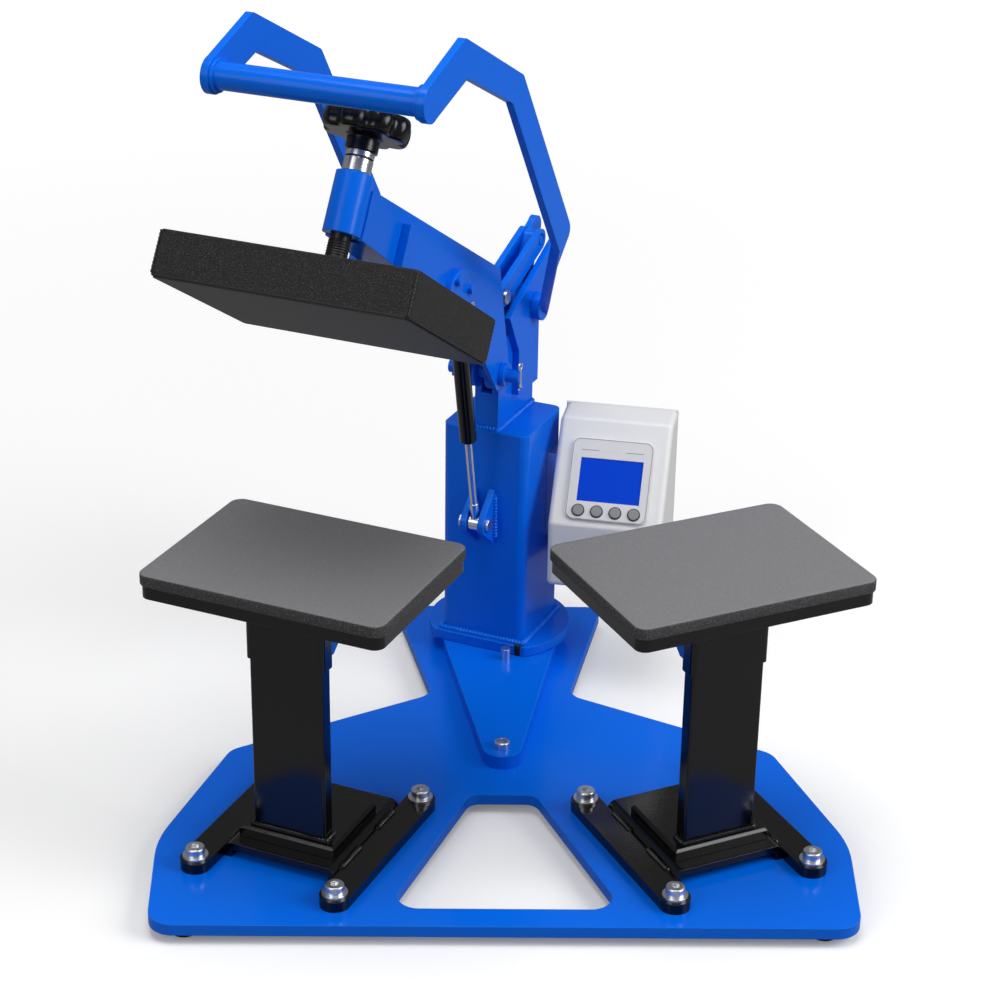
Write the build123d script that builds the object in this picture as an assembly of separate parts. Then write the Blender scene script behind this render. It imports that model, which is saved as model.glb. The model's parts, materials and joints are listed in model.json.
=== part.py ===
from build123d import *
import math
import os

# A label heat press with two fixed tables and one head that swings from table to table.
# Millimetres. Z is up, X is to the right, the front faces -Y.
# The origin is on the floor, under the middle of the whole press in its rest pose.
# The pose written is the rest pose: the head is open and stands over the left table.

# How far a cut runs past the piece that it cuts
CUT_PAST = 42.0

# Base plate
BASE_DEPTH = 521.0
BASE_THICKNESS = 9.5
FOOT_HEIGHT = 8.0
FOOT_RADIUS = 11.0
FOOT_INSET = 20.0
FRONT_FOOT_INSET = 26.0
FRONT_HALF_WIDTH = 268.0
SHOULDER_HALF_WIDTH = 274.0
SHOULDER_FROM_FRONT = 115.5
WING_HALF_WIDTH = 228.0
WING_FROM_FRONT = 254.5
WAIST_HALF_WIDTH = 60.3
WAIST_FROM_FRONT = 352.0
BACK_HALF_WIDTH = 97.0
FRONT_CORNER = 20.0
SHOULDER_CORNER = 120.0
WING_CORNER = 20.0
WAIST_CORNER = 16.0
BACK_CORNER = 12.0
HOLE_FRONT_HALF_WIDTH = 89.8
HOLE_BACK_HALF_WIDTH = 26.5
HOLE_FROM_FRONT = 23.5
HOLE_LENGTH = 162.5
HOLE_FRONT_CORNER = 17.0
HOLE_BACK_CORNER = 12.0

# Index plate, the long triangle on the base that the column stands on
INDEX_THICKNESS = 12.0
INDEX_BACK_HALF_WIDTH = 51.0
INDEX_TIP_RADIUS = 16.5
INDEX_TIP_FROM_AXIS = 216.5
INDEX_STRAIGHT_FROM_AXIS = 28.0
INDEX_BEHIND_AXIS = 50.0
INDEX_SCREW_HEAD_RADIUS = 6.5
INDEX_SCREW_HEAD_HEIGHT = 6.0

# Swing
SWING_FROM_BACK = 62.2
SWING_ANGLE = 24.4
SPINDLE_RADIUS = 16.0
SPINDLE_TOP = 200.0
RUNNING_FIT = 0.05
BUSH_RADIUS = 20.0
BUSH_HEIGHT = 12.0
WASHER_THICKNESS = 0.45
WASHER_GAP = 0.05
WASHER_RADIUS = 30.0

# Column
FLANGE_THICKNESS = 9.0
FLANGE_RADIUS = 64.0
FLANGE_FRONT = 46.0
BUMPER_RADIUS = 5.2
BUMPER_SIDE = 37.5
BUMPER_AHEAD = 41.5
STOP_POST_RADIUS = 4.4
STOP_POST_HEIGHT = 11.0
STOP_POST_SIDE = 30.5
STOP_POST_AHEAD = 55.5
TUBE_WIDTH = 80.0
TUBE_WALL = 5.0
TUBE_CORNER = 8.0
COLUMN_TOP = 222.4
CAP_THICKNESS = 6.0
BEARING_PLATE_THICKNESS = 8.0
BEARING_PLATE_TOP = 194.0

# Riser on the column and its two cheeks
RISER_HALF_WIDTH = 11.0
RISER_WALL = 6.0
RISER_FRONT = 36.0
RISER_REAR = -40.0
RISER_WEB_TOP = 256.0
CHEEK_THICKNESS = 6.0
CHEEK_FOOT = 246.0
CHEEK_REAR = -37.0
CHEEK_FRONT = 6.0
CHEEK_BEND = 304.0
CHEEK_TIP = (27.0, 324.0)
CHEEK_THROAT = (6.0, 287.0)
HORN_END = (-95.0, 366.0)
HORN_RADIUS = 10.0

# Head hinge
HINGE_AHEAD = 38.7
HINGE_HEIGHT = 277.3
HINGE_PIN_RADIUS = 6.0
HINGE_EAR_RADIUS = 15.0
HINGE_NOSE_RADIUS = 14.0
HINGE_PIN_REACH = 33.0
HINGE_WASHER_RADIUS = 10.0
COTTER_RADIUS = 1.2
COTTER_LENGTH = 18.0
COTTER_FROM_END = 2.4
OPEN_ANGLE = 31.4
SIDE_GAP = 0.3

# Arm, given with the head closed; "ahead" is from the swing axis towards the table
ARM_PLATE_THICKNESS = 4.0
ARM_EAR_REAR_ANGLE = 136.2
ARM_EAR_FRONT_ANGLE = -56.5
ARM_REAR_TOP = (96.0, 357.0)
ARM_FRONT_TOP_HEIGHT = 349.0
ARM_END_FROM_SCREW = 5.0
ARM_FRONT_BOTTOM_HEIGHT = 311.0
ARM_BELLY = (140.0, 301.0)
ARM_WEB_THICKNESS = 6.0
ARM_WEB_REAR = 168.0
SLEEVE_RADIUS = 14.5
SLEEVE_BOTTOM = 312.0
SLEEVE_TOP = 358.0
LUG_HALF_THICKNESS = 4.8
LUG_RADIUS = 10.0
LUG_END = 112.0
LUG_BLOCK_DEPTH = 16.0
LUG_BLOCK_BOTTOM = 326.0
LUG_BLOCK_TOP = 350.0
BRACKET_AHEAD = 176.0
BRACKET_HEIGHT = 314.0
BRACKET_RADIUS = 22.0
BRACKET_THICKNESS = 5.0
BRACKET_SCREW_SPREAD = 14.0
BRACKET_SCREW_RISE = 10.0
BRACKET_SCREW_RADIUS = 4.0

# Tables
TABLE_RADIUS = 370.0
TABLE_LENGTH = 203.2
TABLE_DEPTH = 152.4
TABLE_CORNER = 10.0
PAD_TOP = 245.0
PAD_THICKNESS = 10.0
PAD_OVERHANG = 1.6
TABLE_PLATE_THICKNESS = 10.0
FOOT_BAR_SPREAD = 60.5
FOOT_BAR_LENGTH = 150.0
FOOT_BAR_WIDTH = 24.0
FOOT_BAR_THICKNESS = 9.0
FOOT_PLATE_HALF_WIDTH = 48.3
FOOT_PLATE_REAR = -60.0
FOOT_PLATE_FRONT = 52.0
FOOT_PLATE_HEIGHT = 13.0
FOOT_PLATE_WALL = 6.0
FOOT_PLATE_BEND = 7.0
POST_BLOCK_HALF_WIDTH = 41.0
POST_BLOCK_REAR = -34.0
POST_BLOCK_FRONT = 40.0
POST_BLOCK_HEIGHT = 10.0
POST_WIDTH = 62.0
POST_DEPTH = 13.5
POST_AHEAD = 27.0
POST_WALL = 3.0
POST_CORNER = 2.0
TABLE_SLEEVE_WALL = 2.0
TABLE_SLEEVE_FIT = 0.1
TABLE_SLEEVE_BOTTOM = 171.0
GUSSET_HALF_WIDTH = 27.0
GUSSET_WALL = 4.0
GUSSET_FOOT = 174.0
GUSSET_REAR = -44.0
GUSSET_TIP = 12.0
GUSSET_PIN_RADIUS = 4.5
GUSSET_PIN_REACH = 4.0
SCREW_HEAD_RADIUS = 7.5
SCREW_HEAD_HEIGHT = 7.0
SCREW_HEAD_ROUND = 1.6
SCREW_SHANK_RADIUS = 4.0
SCREW_SOCKET_RADIUS = 3.4
SCREW_SOCKET_DEPTH = 3.5
SCREW_WASHER_RADIUS = 10.0
SCREW_WASHER_THICKNESS = 2.5
SCREW_FIT = 0.25

# Platen, given with the head closed
PLATEN_GAP = 1.0
COVER_LENGTH = 206.0
COVER_DEPTH = 156.0
COVER_CORNER = 4.0
COVER_WALL = 1.5
PLATEN_HEIGHT = 36.0
PLATE_LIP = 2.0
BLOCK_THICKNESS = 14.0
BLOCK_CLEARANCE = 0.2
ELEMENT_RADIUS = 3.2
ELEMENT_LENGTH = 130.0
ELEMENT_SPREAD = 50.0
INSULATION_THICKNESS = 10.0
INSULATION_MARGIN = 6.0
BOSS_RADIUS = 18.0
BOSS_HEIGHT = 9.0
BOSS_FLOOR = 2.0
BOSS_CHAMFER = 2.0
GUIDE_BACK = 71.0
GUIDE_WIDTH = 8.0
GUIDE_THICKNESS = 7.0
GUIDE_TOP = 341.0

# Pressure screw and knob, given with the head closed
ROD_RADIUS = 8.0
COLLAR_RADIUS = 10.6
COLLAR_BOTTOM_GAP = 0.6
COLLAR_HEIGHT = 17.0
KNOB_HUB_RADIUS = 12.5
KNOB_HUB_HEIGHT = 11.0
KNOB_RADIUS = 34.0
KNOB_THICKNESS = 18.0
KNOB_LOBES = 8
KNOB_SCALLOP_RADIUS = 9.0
KNOB_SCALLOP_DEPTH = 5.0
KNOB_LOBE_ROUND = 2.5
KNOB_CHAMFER = 2.0
KNOB_NUT_RADIUS = 11.0
KNOB_NUT_HEIGHT = 5.0

# Yoke, the two-handed lever, given open
YOKE_PIVOT = (-28.0, 318.0)
YOKE_OUTER = 88.0
YOKE_THICKNESS = 6.0
GRIP_CENTRE = (334.0, 596.0)
GRIP_RADIUS = 10.3
GRIP_WALL = 2.5
GRIP_COLLAR_RADIUS = 12.6
GRIP_COLLAR_WIDTH = 3.0
GRIP_END_RADIUS = 14.0
YOKE_OUTLINE = [
    (341.4, 608.0), (279.0, 630.0), (174.0, 579.0), (71.0, 430.0),
    (93.0, 414.0), (194.0, 562.0), (275.0, 600.0), (326.6, 584.0),
]
YOKE_CORNERS = [0.0, 5.0, 9.0, 7.0, 3.0, 3.0, 4.0, 0.0]
LEG_CENTRE = (84.0, 423.0)
LEG_WIDTH = 24.0
LEG_THICKNESS = 7.0
LEG_SLOPE = 40.0
HUB_RADIUS = 12.0
HUB_WIDTH = 8.0
YOKE_SHAFT_RADIUS = 6.0
CRANK_HALF_THICKNESS = 4.8
CRANK_PIN = (-55.0, 369.0)
CRANK_PIN_RADIUS = 4.0
CRANK_ROLLER_RADIUS = 8.0

# Link between the arm and the yoke's crank, given open
LINK_PIN = (24.0, 342.0)
LINK_PIN_RADIUS = 4.0
LINK_WIDTH = 19.0
LINK_INNER = 5.2
LINK_THICKNESS = 5.0
LINK_LOOSE_FIT = 1.6
LINK_HEAD_RADIUS = 6.0
LINK_HEAD_HEIGHT = 3.0

# Gas spring, given open
SPRING_FOOT = (56.0, 141.0)
SPRING_HEAD = (101.0, 360.0)
SPRING_RADIUS = 7.25
SPRING_WALL = 1.6
SPRING_ROUND = 0.8
SPRING_ROD_RADIUS = 3.4
SPRING_GLAND = 87.0
SPRING_PISTON = 105.0
SPRING_PISTON_LENGTH = 8.0
SPRING_EYE_RADIUS = 7.0
SPRING_EYE_HALF_WIDTH = 4.5
SPRING_HEAD_EYE_RADIUS = 9.0
SPRING_PIN_RADIUS = 4.0
SPRING_LOOSE_FIT = 1.6
SPRING_NECK_RADIUS = 4.1
SPRING_NECK_LENGTH = 14.0
SPRING_EAR_INNER = 5.5
SPRING_EAR_THICKNESS = 5.5
SPRING_EAR_RADIUS = 10.0
SPRING_EAR_BOTTOM = 116.0
SPRING_EAR_TOP = 168.0
SPRING_EAR_ROOT = 1.0

# Controller, in its own frame: X right, Y back, Z up, from its top front left corner
CONTROLLER_WIDTH = 100.0
CONTROLLER_TOP_DEPTH = 36.0
CONTROLLER_SLOPE_DEPTH = 58.0
CONTROLLER_SLOPE_HEIGHT = 78.0
CONTROLLER_HEIGHT = 139.0
CONTROLLER_WALL = 2.5
CONTROLLER_CORNER = 5.0
CONTROLLER_SIDE = 47.6
CONTROLLER_AHEAD = -18.6
CONTROLLER_TOP = 223.0
CONTROLLER_TURN = 12.9
CONTROLLER_BACK_THICKNESS = 3.0
BEZEL_WIDTH = 71.0
BEZEL_HEIGHT = 73.0
BEZEL_THICKNESS = 2.5
BEZEL_CORNER = 7.0
BEZEL_ACROSS = 50.5
BEZEL_DOWN = 55.0
DISPLAY_WIDTH = 55.0
DISPLAY_HEIGHT = 39.0
DISPLAY_DOWN = 55.5
DISPLAY_THICKNESS = 1.8
BUTTON_COUNT = 4
BUTTON_RADIUS = 4.7
BUTTON_FIT = 0.3
BUTTON_PROUD = 2.0
BUTTON_ROUND = 0.6
BUTTON_STEM = 8.0
BUTTON_DOWN = 83.5
BUTTON_FIRST = 25.5
BUTTON_PITCH = 16.3
BOARD_WIDTH = 80.0
BOARD_HEIGHT = 90.0
BOARD_THICKNESS = 1.6
STANDOFF_LENGTH = 8.0
STANDOFF_RADIUS = 3.0
STANDOFF_INSET = 6.0
INLET_WIDTH = 28.0
INLET_HEIGHT = 22.0
INLET_DEPTH = 14.0
INLET_RISE = 26.0
INLET_WALL = 3.0
INLET_CORNER = 5.0
BRACKET_PLATE_BOTTOM = 110.0
BRACKET_PLATE_TOP = 190.0
BRACKET_PLATE_REAR = -37.0
BRACKET_PLATE_FRONT = -8.0

# Values worked out from the ones above
PLATE_TOP = FOOT_HEIGHT + BASE_THICKNESS
CHEEK_OUTER = RISER_HALF_WIDTH + CHEEK_THICKNESS
SWING_RADIANS = math.radians(SWING_ANGLE)
HORN_REACH = (HORN_RADIUS - HORN_END[0]) * math.cos(SWING_RADIANS) + CHEEK_OUTER * math.sin(SWING_RADIANS)
BASE_BACK = (BASE_DEPTH + SWING_FROM_BACK - HORN_REACH) / 2
BASE_FRONT = BASE_BACK - BASE_DEPTH
SWING_Y = BASE_BACK - SWING_FROM_BACK
FLANGE_BOTTOM = INDEX_THICKNESS + WASHER_GAP + WASHER_THICKNESS
FLANGE_TOP = FLANGE_BOTTOM + FLANGE_THICKNESS
ARM_INNER = RISER_HALF_WIDTH + SIDE_GAP
ARM_OUTER = ARM_INNER + ARM_PLATE_THICKNESS
ARM_END = TABLE_RADIUS - ARM_END_FROM_SCREW
TABLE_PLATE_TOP = PAD_TOP - PAD_THICKNESS
TABLE_PLATE_BOTTOM = TABLE_PLATE_TOP - TABLE_PLATE_THICKNESS
POST_TOP = TABLE_PLATE_BOTTOM
POST_BLOCK_TOP = FOOT_PLATE_HEIGHT + POST_BLOCK_HEIGHT
PLATEN_BOTTOM = PAD_TOP + PLATEN_GAP
PLATEN_TOP = PLATEN_BOTTOM + PLATEN_HEIGHT
BLOCK_TOP = PLATEN_BOTTOM + BLOCK_THICKNESS
COLLAR_BOTTOM = SLEEVE_TOP + COLLAR_BOTTOM_GAP
KNOB_HUB_BOTTOM = COLLAR_BOTTOM + COLLAR_HEIGHT
KNOB_BOTTOM = KNOB_HUB_BOTTOM + KNOB_HUB_HEIGHT
KNOB_TOP = KNOB_BOTTOM + KNOB_THICKNESS
HUB_INNER = CHEEK_OUTER + SIDE_GAP
HUB_OUTER = HUB_INNER + HUB_WIDTH

TOP = Pos(0, 0, PLATE_TOP)
SWING = Pos(0, SWING_Y, PLATE_TOP) * Rot(0, 0, -SWING_ANGLE)
OPEN = Pos(0, -HINGE_AHEAD, HINGE_HEIGHT) * Rot(-OPEN_ANGLE, 0, 0) * Pos(0, HINGE_AHEAD, -HINGE_HEIGHT)
LEFT_TABLE = SWING * Pos(0, -TABLE_RADIUS, 0)


def side_plane(side):
    """The plane across the head at a distance to its right, drawn in ahead and up."""
    return Plane(origin=(side, 0, 0), x_dir=(0, -1, 0), z_dir=(-1, 0, 0))


def across(sketch, low, high):
    """A sketch drawn in ahead and up, given thickness from side low to side high."""
    return extrude(side_plane(high) * sketch, amount=high - low, dir=(-1, 0, 0))


def disc(ahead, up, radius):
    """A circle drawn in ahead and up."""
    return Pos(ahead, up) * Circle(radius)


def polygon(points):
    """A closed outline through the points, which may run either way round."""
    following = [*points[1:], points[0]]
    area = sum(here[0] * there[1] - there[0] * here[1] for here, there in zip(points, following))
    return Polygon(*(points if area > 0 else reversed(points)), align=None)


def rounded(points, radii):
    """A closed outline whose corners are rounded, each by its own radius."""
    outline = polygon(points)
    for point, radius in zip(points, radii):
        if radius > 0:
            corner = outline.vertices().sort_by_distance(Vector(*point))[0]
            outline = fillet(corner, radius)
    return outline


def bar(start, end, width):
    """A straight bar with round ends from point to point."""
    run = Vector(*end) - Vector(*start)
    middle = (Vector(*end) + Vector(*start)) / 2
    turn = math.degrees(math.atan2(run.Y, run.X))
    return Pos(middle.X, middle.Y) * Rot(0, 0, turn) * SlotCenterToCenter(run.length, width)


def upright(sketch, bottom, top):
    """A sketch drawn on the ground, given height from bottom to top."""
    return extrude(Pos(0, 0, bottom) * sketch, amount=top - bottom, dir=(0, 0, 1))


def mirrored(shape):
    """The same piece on the other side."""
    return mirror(shape, about=Plane.YZ)


def pair(shape):
    """A piece and its mirror image, as two solids."""
    return Compound(children=[*shape.solids(), *mirrored(shape).solids()])


def group(shapes):
    """Several separate solids in one node."""
    return Compound(children=[solid for shape in shapes for solid in shape.solids()])


# Base

def base_outline():
    half = [
        (FRONT_HALF_WIDTH, BASE_FRONT, FRONT_CORNER),
        (SHOULDER_HALF_WIDTH, BASE_FRONT + SHOULDER_FROM_FRONT, SHOULDER_CORNER),
        (WING_HALF_WIDTH, BASE_FRONT + WING_FROM_FRONT, WING_CORNER),
        (WAIST_HALF_WIDTH, BASE_FRONT + WAIST_FROM_FRONT, WAIST_CORNER),
        (BACK_HALF_WIDTH, BASE_BACK, BACK_CORNER),
    ]
    whole = half + [(-x, y, radius) for x, y, radius in reversed(half)]
    return rounded([(x, y) for x, y, _ in whole], [radius for _, _, radius in whole])


def hole_outline():
    front = BASE_FRONT + HOLE_FROM_FRONT
    points = [
        (HOLE_FRONT_HALF_WIDTH, front),
        (HOLE_BACK_HALF_WIDTH, front + HOLE_LENGTH),
        (-HOLE_BACK_HALF_WIDTH, front + HOLE_LENGTH),
        (-HOLE_FRONT_HALF_WIDTH, front),
    ]
    return rounded(points, [HOLE_FRONT_CORNER, HOLE_BACK_CORNER, HOLE_BACK_CORNER, HOLE_FRONT_CORNER])


def base_plate():
    plate = upright(base_outline() - hole_outline(), -BASE_THICKNESS, 0)
    return TOP * plate


def foot_places():
    front = (FRONT_HALF_WIDTH - FRONT_FOOT_INSET, BASE_FRONT + FOOT_INSET)
    wing = (WING_HALF_WIDTH - FOOT_INSET, BASE_FRONT + WING_FROM_FRONT - FOOT_INSET)
    back = (BACK_HALF_WIDTH - FOOT_INSET, BASE_BACK - FOOT_INSET)
    return [(side * x, y) for x, y in (front, wing, back) for side in (-1, 1)]


def rubber_feet():
    return group([Pos(x, y, 0) * upright(Circle(FOOT_RADIUS), 0, FOOT_HEIGHT) for x, y in foot_places()])


def index_plate():
    tip_y = SWING_Y - INDEX_TIP_FROM_AXIS
    straight_y = SWING_Y - INDEX_STRAIGHT_FROM_AXIS
    back_y = SWING_Y + INDEX_BEHIND_AXIS
    outline = polygon([
        (INDEX_TIP_RADIUS, tip_y), (INDEX_BACK_HALF_WIDTH, straight_y), (INDEX_BACK_HALF_WIDTH, back_y),
        (-INDEX_BACK_HALF_WIDTH, back_y), (-INDEX_BACK_HALF_WIDTH, straight_y), (-INDEX_TIP_RADIUS, tip_y),
    ]) + Pos(0, tip_y) * Circle(INDEX_TIP_RADIUS)
    plate = upright(outline, 0, INDEX_THICKNESS)
    hole = Pos(0, tip_y, 0) * upright(Circle(SCREW_SHANK_RADIUS + SCREW_FIT), 0, INDEX_THICKNESS)
    return TOP * (plate - hole)


def socket_screw(head_radius, head_height, shank_length):
    """A screw with a hexagon socket; its head stands on z = 0."""
    head = upright(Circle(head_radius), 0, head_height)
    head = fillet(head.edges().group_by(Axis.Z)[-1], SCREW_HEAD_ROUND)
    socket = upright(RegularPolygon(SCREW_SOCKET_RADIUS, 6), head_height - SCREW_SOCKET_DEPTH, head_height)
    return head - socket + upright(Circle(SCREW_SHANK_RADIUS), -shank_length, 0)


def washer():
    """A round washer that stands on z = 0."""
    ring = Circle(SCREW_WASHER_RADIUS) - Circle(SCREW_SHANK_RADIUS + SCREW_FIT)
    return upright(ring, 0, SCREW_WASHER_THICKNESS)


def index_screw():
    tip_y = SWING_Y - INDEX_TIP_FROM_AXIS
    screw = socket_screw(INDEX_SCREW_HEAD_RADIUS, INDEX_SCREW_HEAD_HEIGHT, INDEX_THICKNESS)
    return TOP * Pos(0, tip_y, INDEX_THICKNESS) * screw


def swivel_spindle():
    return SWING * upright(Circle(SPINDLE_RADIUS), INDEX_THICKNESS, SPINDLE_TOP)


def spindle_bushes():
    bore = SPINDLE_RADIUS + RUNNING_FIT
    ring = Circle(BUSH_RADIUS) - Circle(bore)
    lower = upright(ring, FLANGE_BOTTOM, FLANGE_BOTTOM + BUSH_HEIGHT)
    upper_middle = BEARING_PLATE_TOP - BEARING_PLATE_THICKNESS / 2
    upper = upright(ring, upper_middle - BUSH_HEIGHT / 2, upper_middle + BUSH_HEIGHT / 2)
    thrust = upright(
        Circle(WASHER_RADIUS) - Circle(bore), INDEX_THICKNESS + WASHER_GAP, FLANGE_BOTTOM
    )
    return SWING * group([lower, upper, thrust])


def stop_post():
    post = upright(Circle(STOP_POST_RADIUS), INDEX_THICKNESS, INDEX_THICKNESS + STOP_POST_HEIGHT)
    return SWING * Pos(STOP_POST_SIDE, -STOP_POST_AHEAD, 0) * post


# Tables, built on the left and mirrored for the right

def foot_bars():
    bars = []
    for side in (-FOOT_BAR_SPREAD, FOOT_BAR_SPREAD):
        strip = Rot(0, 0, 90) * SlotCenterToCenter(FOOT_BAR_LENGTH, FOOT_BAR_WIDTH)
        piece = upright(strip, 0, FOOT_BAR_THICKNESS)
        for ahead in (-FOOT_BAR_LENGTH / 2, FOOT_BAR_LENGTH / 2):
            hole = upright(Circle(SCREW_SHANK_RADIUS + SCREW_FIT), 0, FOOT_BAR_THICKNESS)
            piece -= Pos(0, ahead, 0) * hole
        bars.append(Pos(side, 0, 0) * piece)
    return pair(LEFT_TABLE * group(bars))


def foot_screws():
    pieces = []
    for side in (-FOOT_BAR_SPREAD, FOOT_BAR_SPREAD):
        for ahead in (-FOOT_BAR_LENGTH / 2, FOOT_BAR_LENGTH / 2):
            seat = Pos(side, ahead, FOOT_BAR_THICKNESS)
            pieces.append(seat * washer())
            screw = socket_screw(
                SCREW_HEAD_RADIUS, SCREW_HEAD_HEIGHT, FOOT_BAR_THICKNESS + SCREW_WASHER_THICKNESS
            )
            pieces.append(seat * Pos(0, 0, SCREW_WASHER_THICKNESS) * screw)
    return pair(LEFT_TABLE * group(pieces))


def foot_plates():
    half = FOOT_PLATE_HALF_WIDTH
    wall = FOOT_PLATE_WALL
    outer = rounded(
        [(-half, 0), (half, 0), (half, FOOT_PLATE_HEIGHT), (-half, FOOT_PLATE_HEIGHT)],
        [0, 0, FOOT_PLATE_BEND, FOOT_PLATE_BEND],
    )
    inner = polygon([
        (-half + wall, 0), (half - wall, 0),
        (half - wall, FOOT_PLATE_HEIGHT - wall), (-half + wall, FOOT_PLATE_HEIGHT - wall),
    ])
    front = Plane(origin=(0, -FOOT_PLATE_FRONT, 0), x_dir=(1, 0, 0), z_dir=(0, -1, 0))
    plate = extrude(front * (outer - inner), amount=FOOT_PLATE_FRONT - FOOT_PLATE_REAR, dir=(0, 1, 0))
    return pair(LEFT_TABLE * plate)


def post_blocks():
    depth = POST_BLOCK_FRONT - POST_BLOCK_REAR
    middle = (POST_BLOCK_FRONT + POST_BLOCK_REAR) / 2
    block = upright(Rectangle(2 * POST_BLOCK_HALF_WIDTH, depth), FOOT_PLATE_HEIGHT, POST_BLOCK_TOP)
    block = chamfer(block.edges().group_by(Axis.Z)[-1], POST_CORNER)
    return pair(LEFT_TABLE * Pos(0, -middle, 0) * block)


def hollow_section(width, depth, wall, corner):
    """A rectangular tube's section."""
    outer = RectangleRounded(width, depth, corner)
    return outer - Rectangle(width - 2 * wall, depth - 2 * wall)


def posts():
    section = hollow_section(POST_WIDTH, POST_DEPTH, POST_WALL, POST_CORNER)
    post = upright(section, POST_BLOCK_TOP, POST_TOP)
    return pair(LEFT_TABLE * Pos(0, -POST_AHEAD, 0) * post)


def table_sleeve():
    inside = TABLE_SLEEVE_FIT * 2
    grow = inside + TABLE_SLEEVE_WALL * 2
    outer = RectangleRounded(POST_WIDTH + grow, POST_DEPTH + grow, POST_CORNER + TABLE_SLEEVE_WALL)
    inner = RectangleRounded(POST_WIDTH + inside, POST_DEPTH + inside, POST_CORNER)
    sleeve = upright(outer - inner, TABLE_SLEEVE_BOTTOM, TABLE_PLATE_BOTTOM)
    return LEFT_TABLE * Pos(0, -POST_AHEAD, 0) * sleeve


def table_plate():
    length = TABLE_LENGTH - 2 * PAD_OVERHANG
    depth = TABLE_DEPTH - 2 * PAD_OVERHANG
    plate = RectangleRounded(length, depth, TABLE_CORNER - PAD_OVERHANG)
    return LEFT_TABLE * upright(plate, TABLE_PLATE_BOTTOM, TABLE_PLATE_TOP)


def table_pad():
    pad = RectangleRounded(TABLE_LENGTH, TABLE_DEPTH, TABLE_CORNER)
    return LEFT_TABLE * upright(pad, TABLE_PLATE_TOP, PAD_TOP)


def table_gusset():
    root = POST_AHEAD - POST_DEPTH / 2 - TABLE_SLEEVE_FIT - TABLE_SLEEVE_WALL
    outline = [
        (root, GUSSET_FOOT), (root, TABLE_PLATE_BOTTOM), (GUSSET_REAR, TABLE_PLATE_BOTTOM),
        (GUSSET_REAR, TABLE_PLATE_BOTTOM - GUSSET_TIP), (root - GUSSET_TIP, GUSSET_FOOT),
    ]
    channel = across(polygon(outline), -GUSSET_HALF_WIDTH, GUSSET_HALF_WIDTH)
    hollow = [
        (root, GUSSET_FOOT + GUSSET_WALL), (root, TABLE_PLATE_BOTTOM), (GUSSET_REAR, TABLE_PLATE_BOTTOM),
        (GUSSET_REAR, TABLE_PLATE_BOTTOM - GUSSET_TIP + GUSSET_WALL),
        (root - GUSSET_TIP, GUSSET_FOOT + GUSSET_WALL),
    ]
    inner = GUSSET_HALF_WIDTH - GUSSET_WALL
    channel -= across(polygon(hollow), -inner, inner)
    ahead = (root - GUSSET_TIP + GUSSET_REAR) / 2
    up = (GUSSET_FOOT + TABLE_PLATE_BOTTOM - GUSSET_TIP) / 2
    reach = GUSSET_HALF_WIDTH + GUSSET_PIN_REACH
    channel += across(disc(ahead, up, GUSSET_PIN_RADIUS), -reach, reach)
    return LEFT_TABLE * channel


# Column

def column_foot_flange():
    cut = Pos(0, -FLANGE_FRONT - FLANGE_RADIUS) * Rectangle(4 * FLANGE_RADIUS, 2 * FLANGE_RADIUS)
    outline = Circle(FLANGE_RADIUS) - cut - Circle(BUSH_RADIUS)
    outline -= Pos(BUMPER_SIDE, -BUMPER_AHEAD) * Circle(BUMPER_RADIUS + RUNNING_FIT)
    return SWING * upright(outline, FLANGE_BOTTOM, FLANGE_TOP)


def stop_bumper():
    bumper = upright(Circle(BUMPER_RADIUS), FLANGE_BOTTOM, FLANGE_TOP)
    return SWING * Pos(BUMPER_SIDE, -BUMPER_AHEAD, 0) * bumper


def column_tube():
    outer = RectangleRounded(TUBE_WIDTH, TUBE_WIDTH, TUBE_CORNER)
    inner = RectangleRounded(TUBE_WIDTH - 2 * TUBE_WALL, TUBE_WIDTH - 2 * TUBE_WALL, TUBE_CORNER - TUBE_WALL)
    tube = upright(outer, FLANGE_TOP, COLUMN_TOP)
    tube -= upright(inner, FLANGE_TOP, COLUMN_TOP - CAP_THICKNESS)
    return SWING * tube


def bearing_plate():
    width = TUBE_WIDTH - 2 * TUBE_WALL
    section = RectangleRounded(width, width, TUBE_CORNER - TUBE_WALL) - Circle(BUSH_RADIUS)
    return SWING * upright(section, BEARING_PLATE_TOP - BEARING_PLATE_THICKNESS, BEARING_PLATE_TOP)


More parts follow.
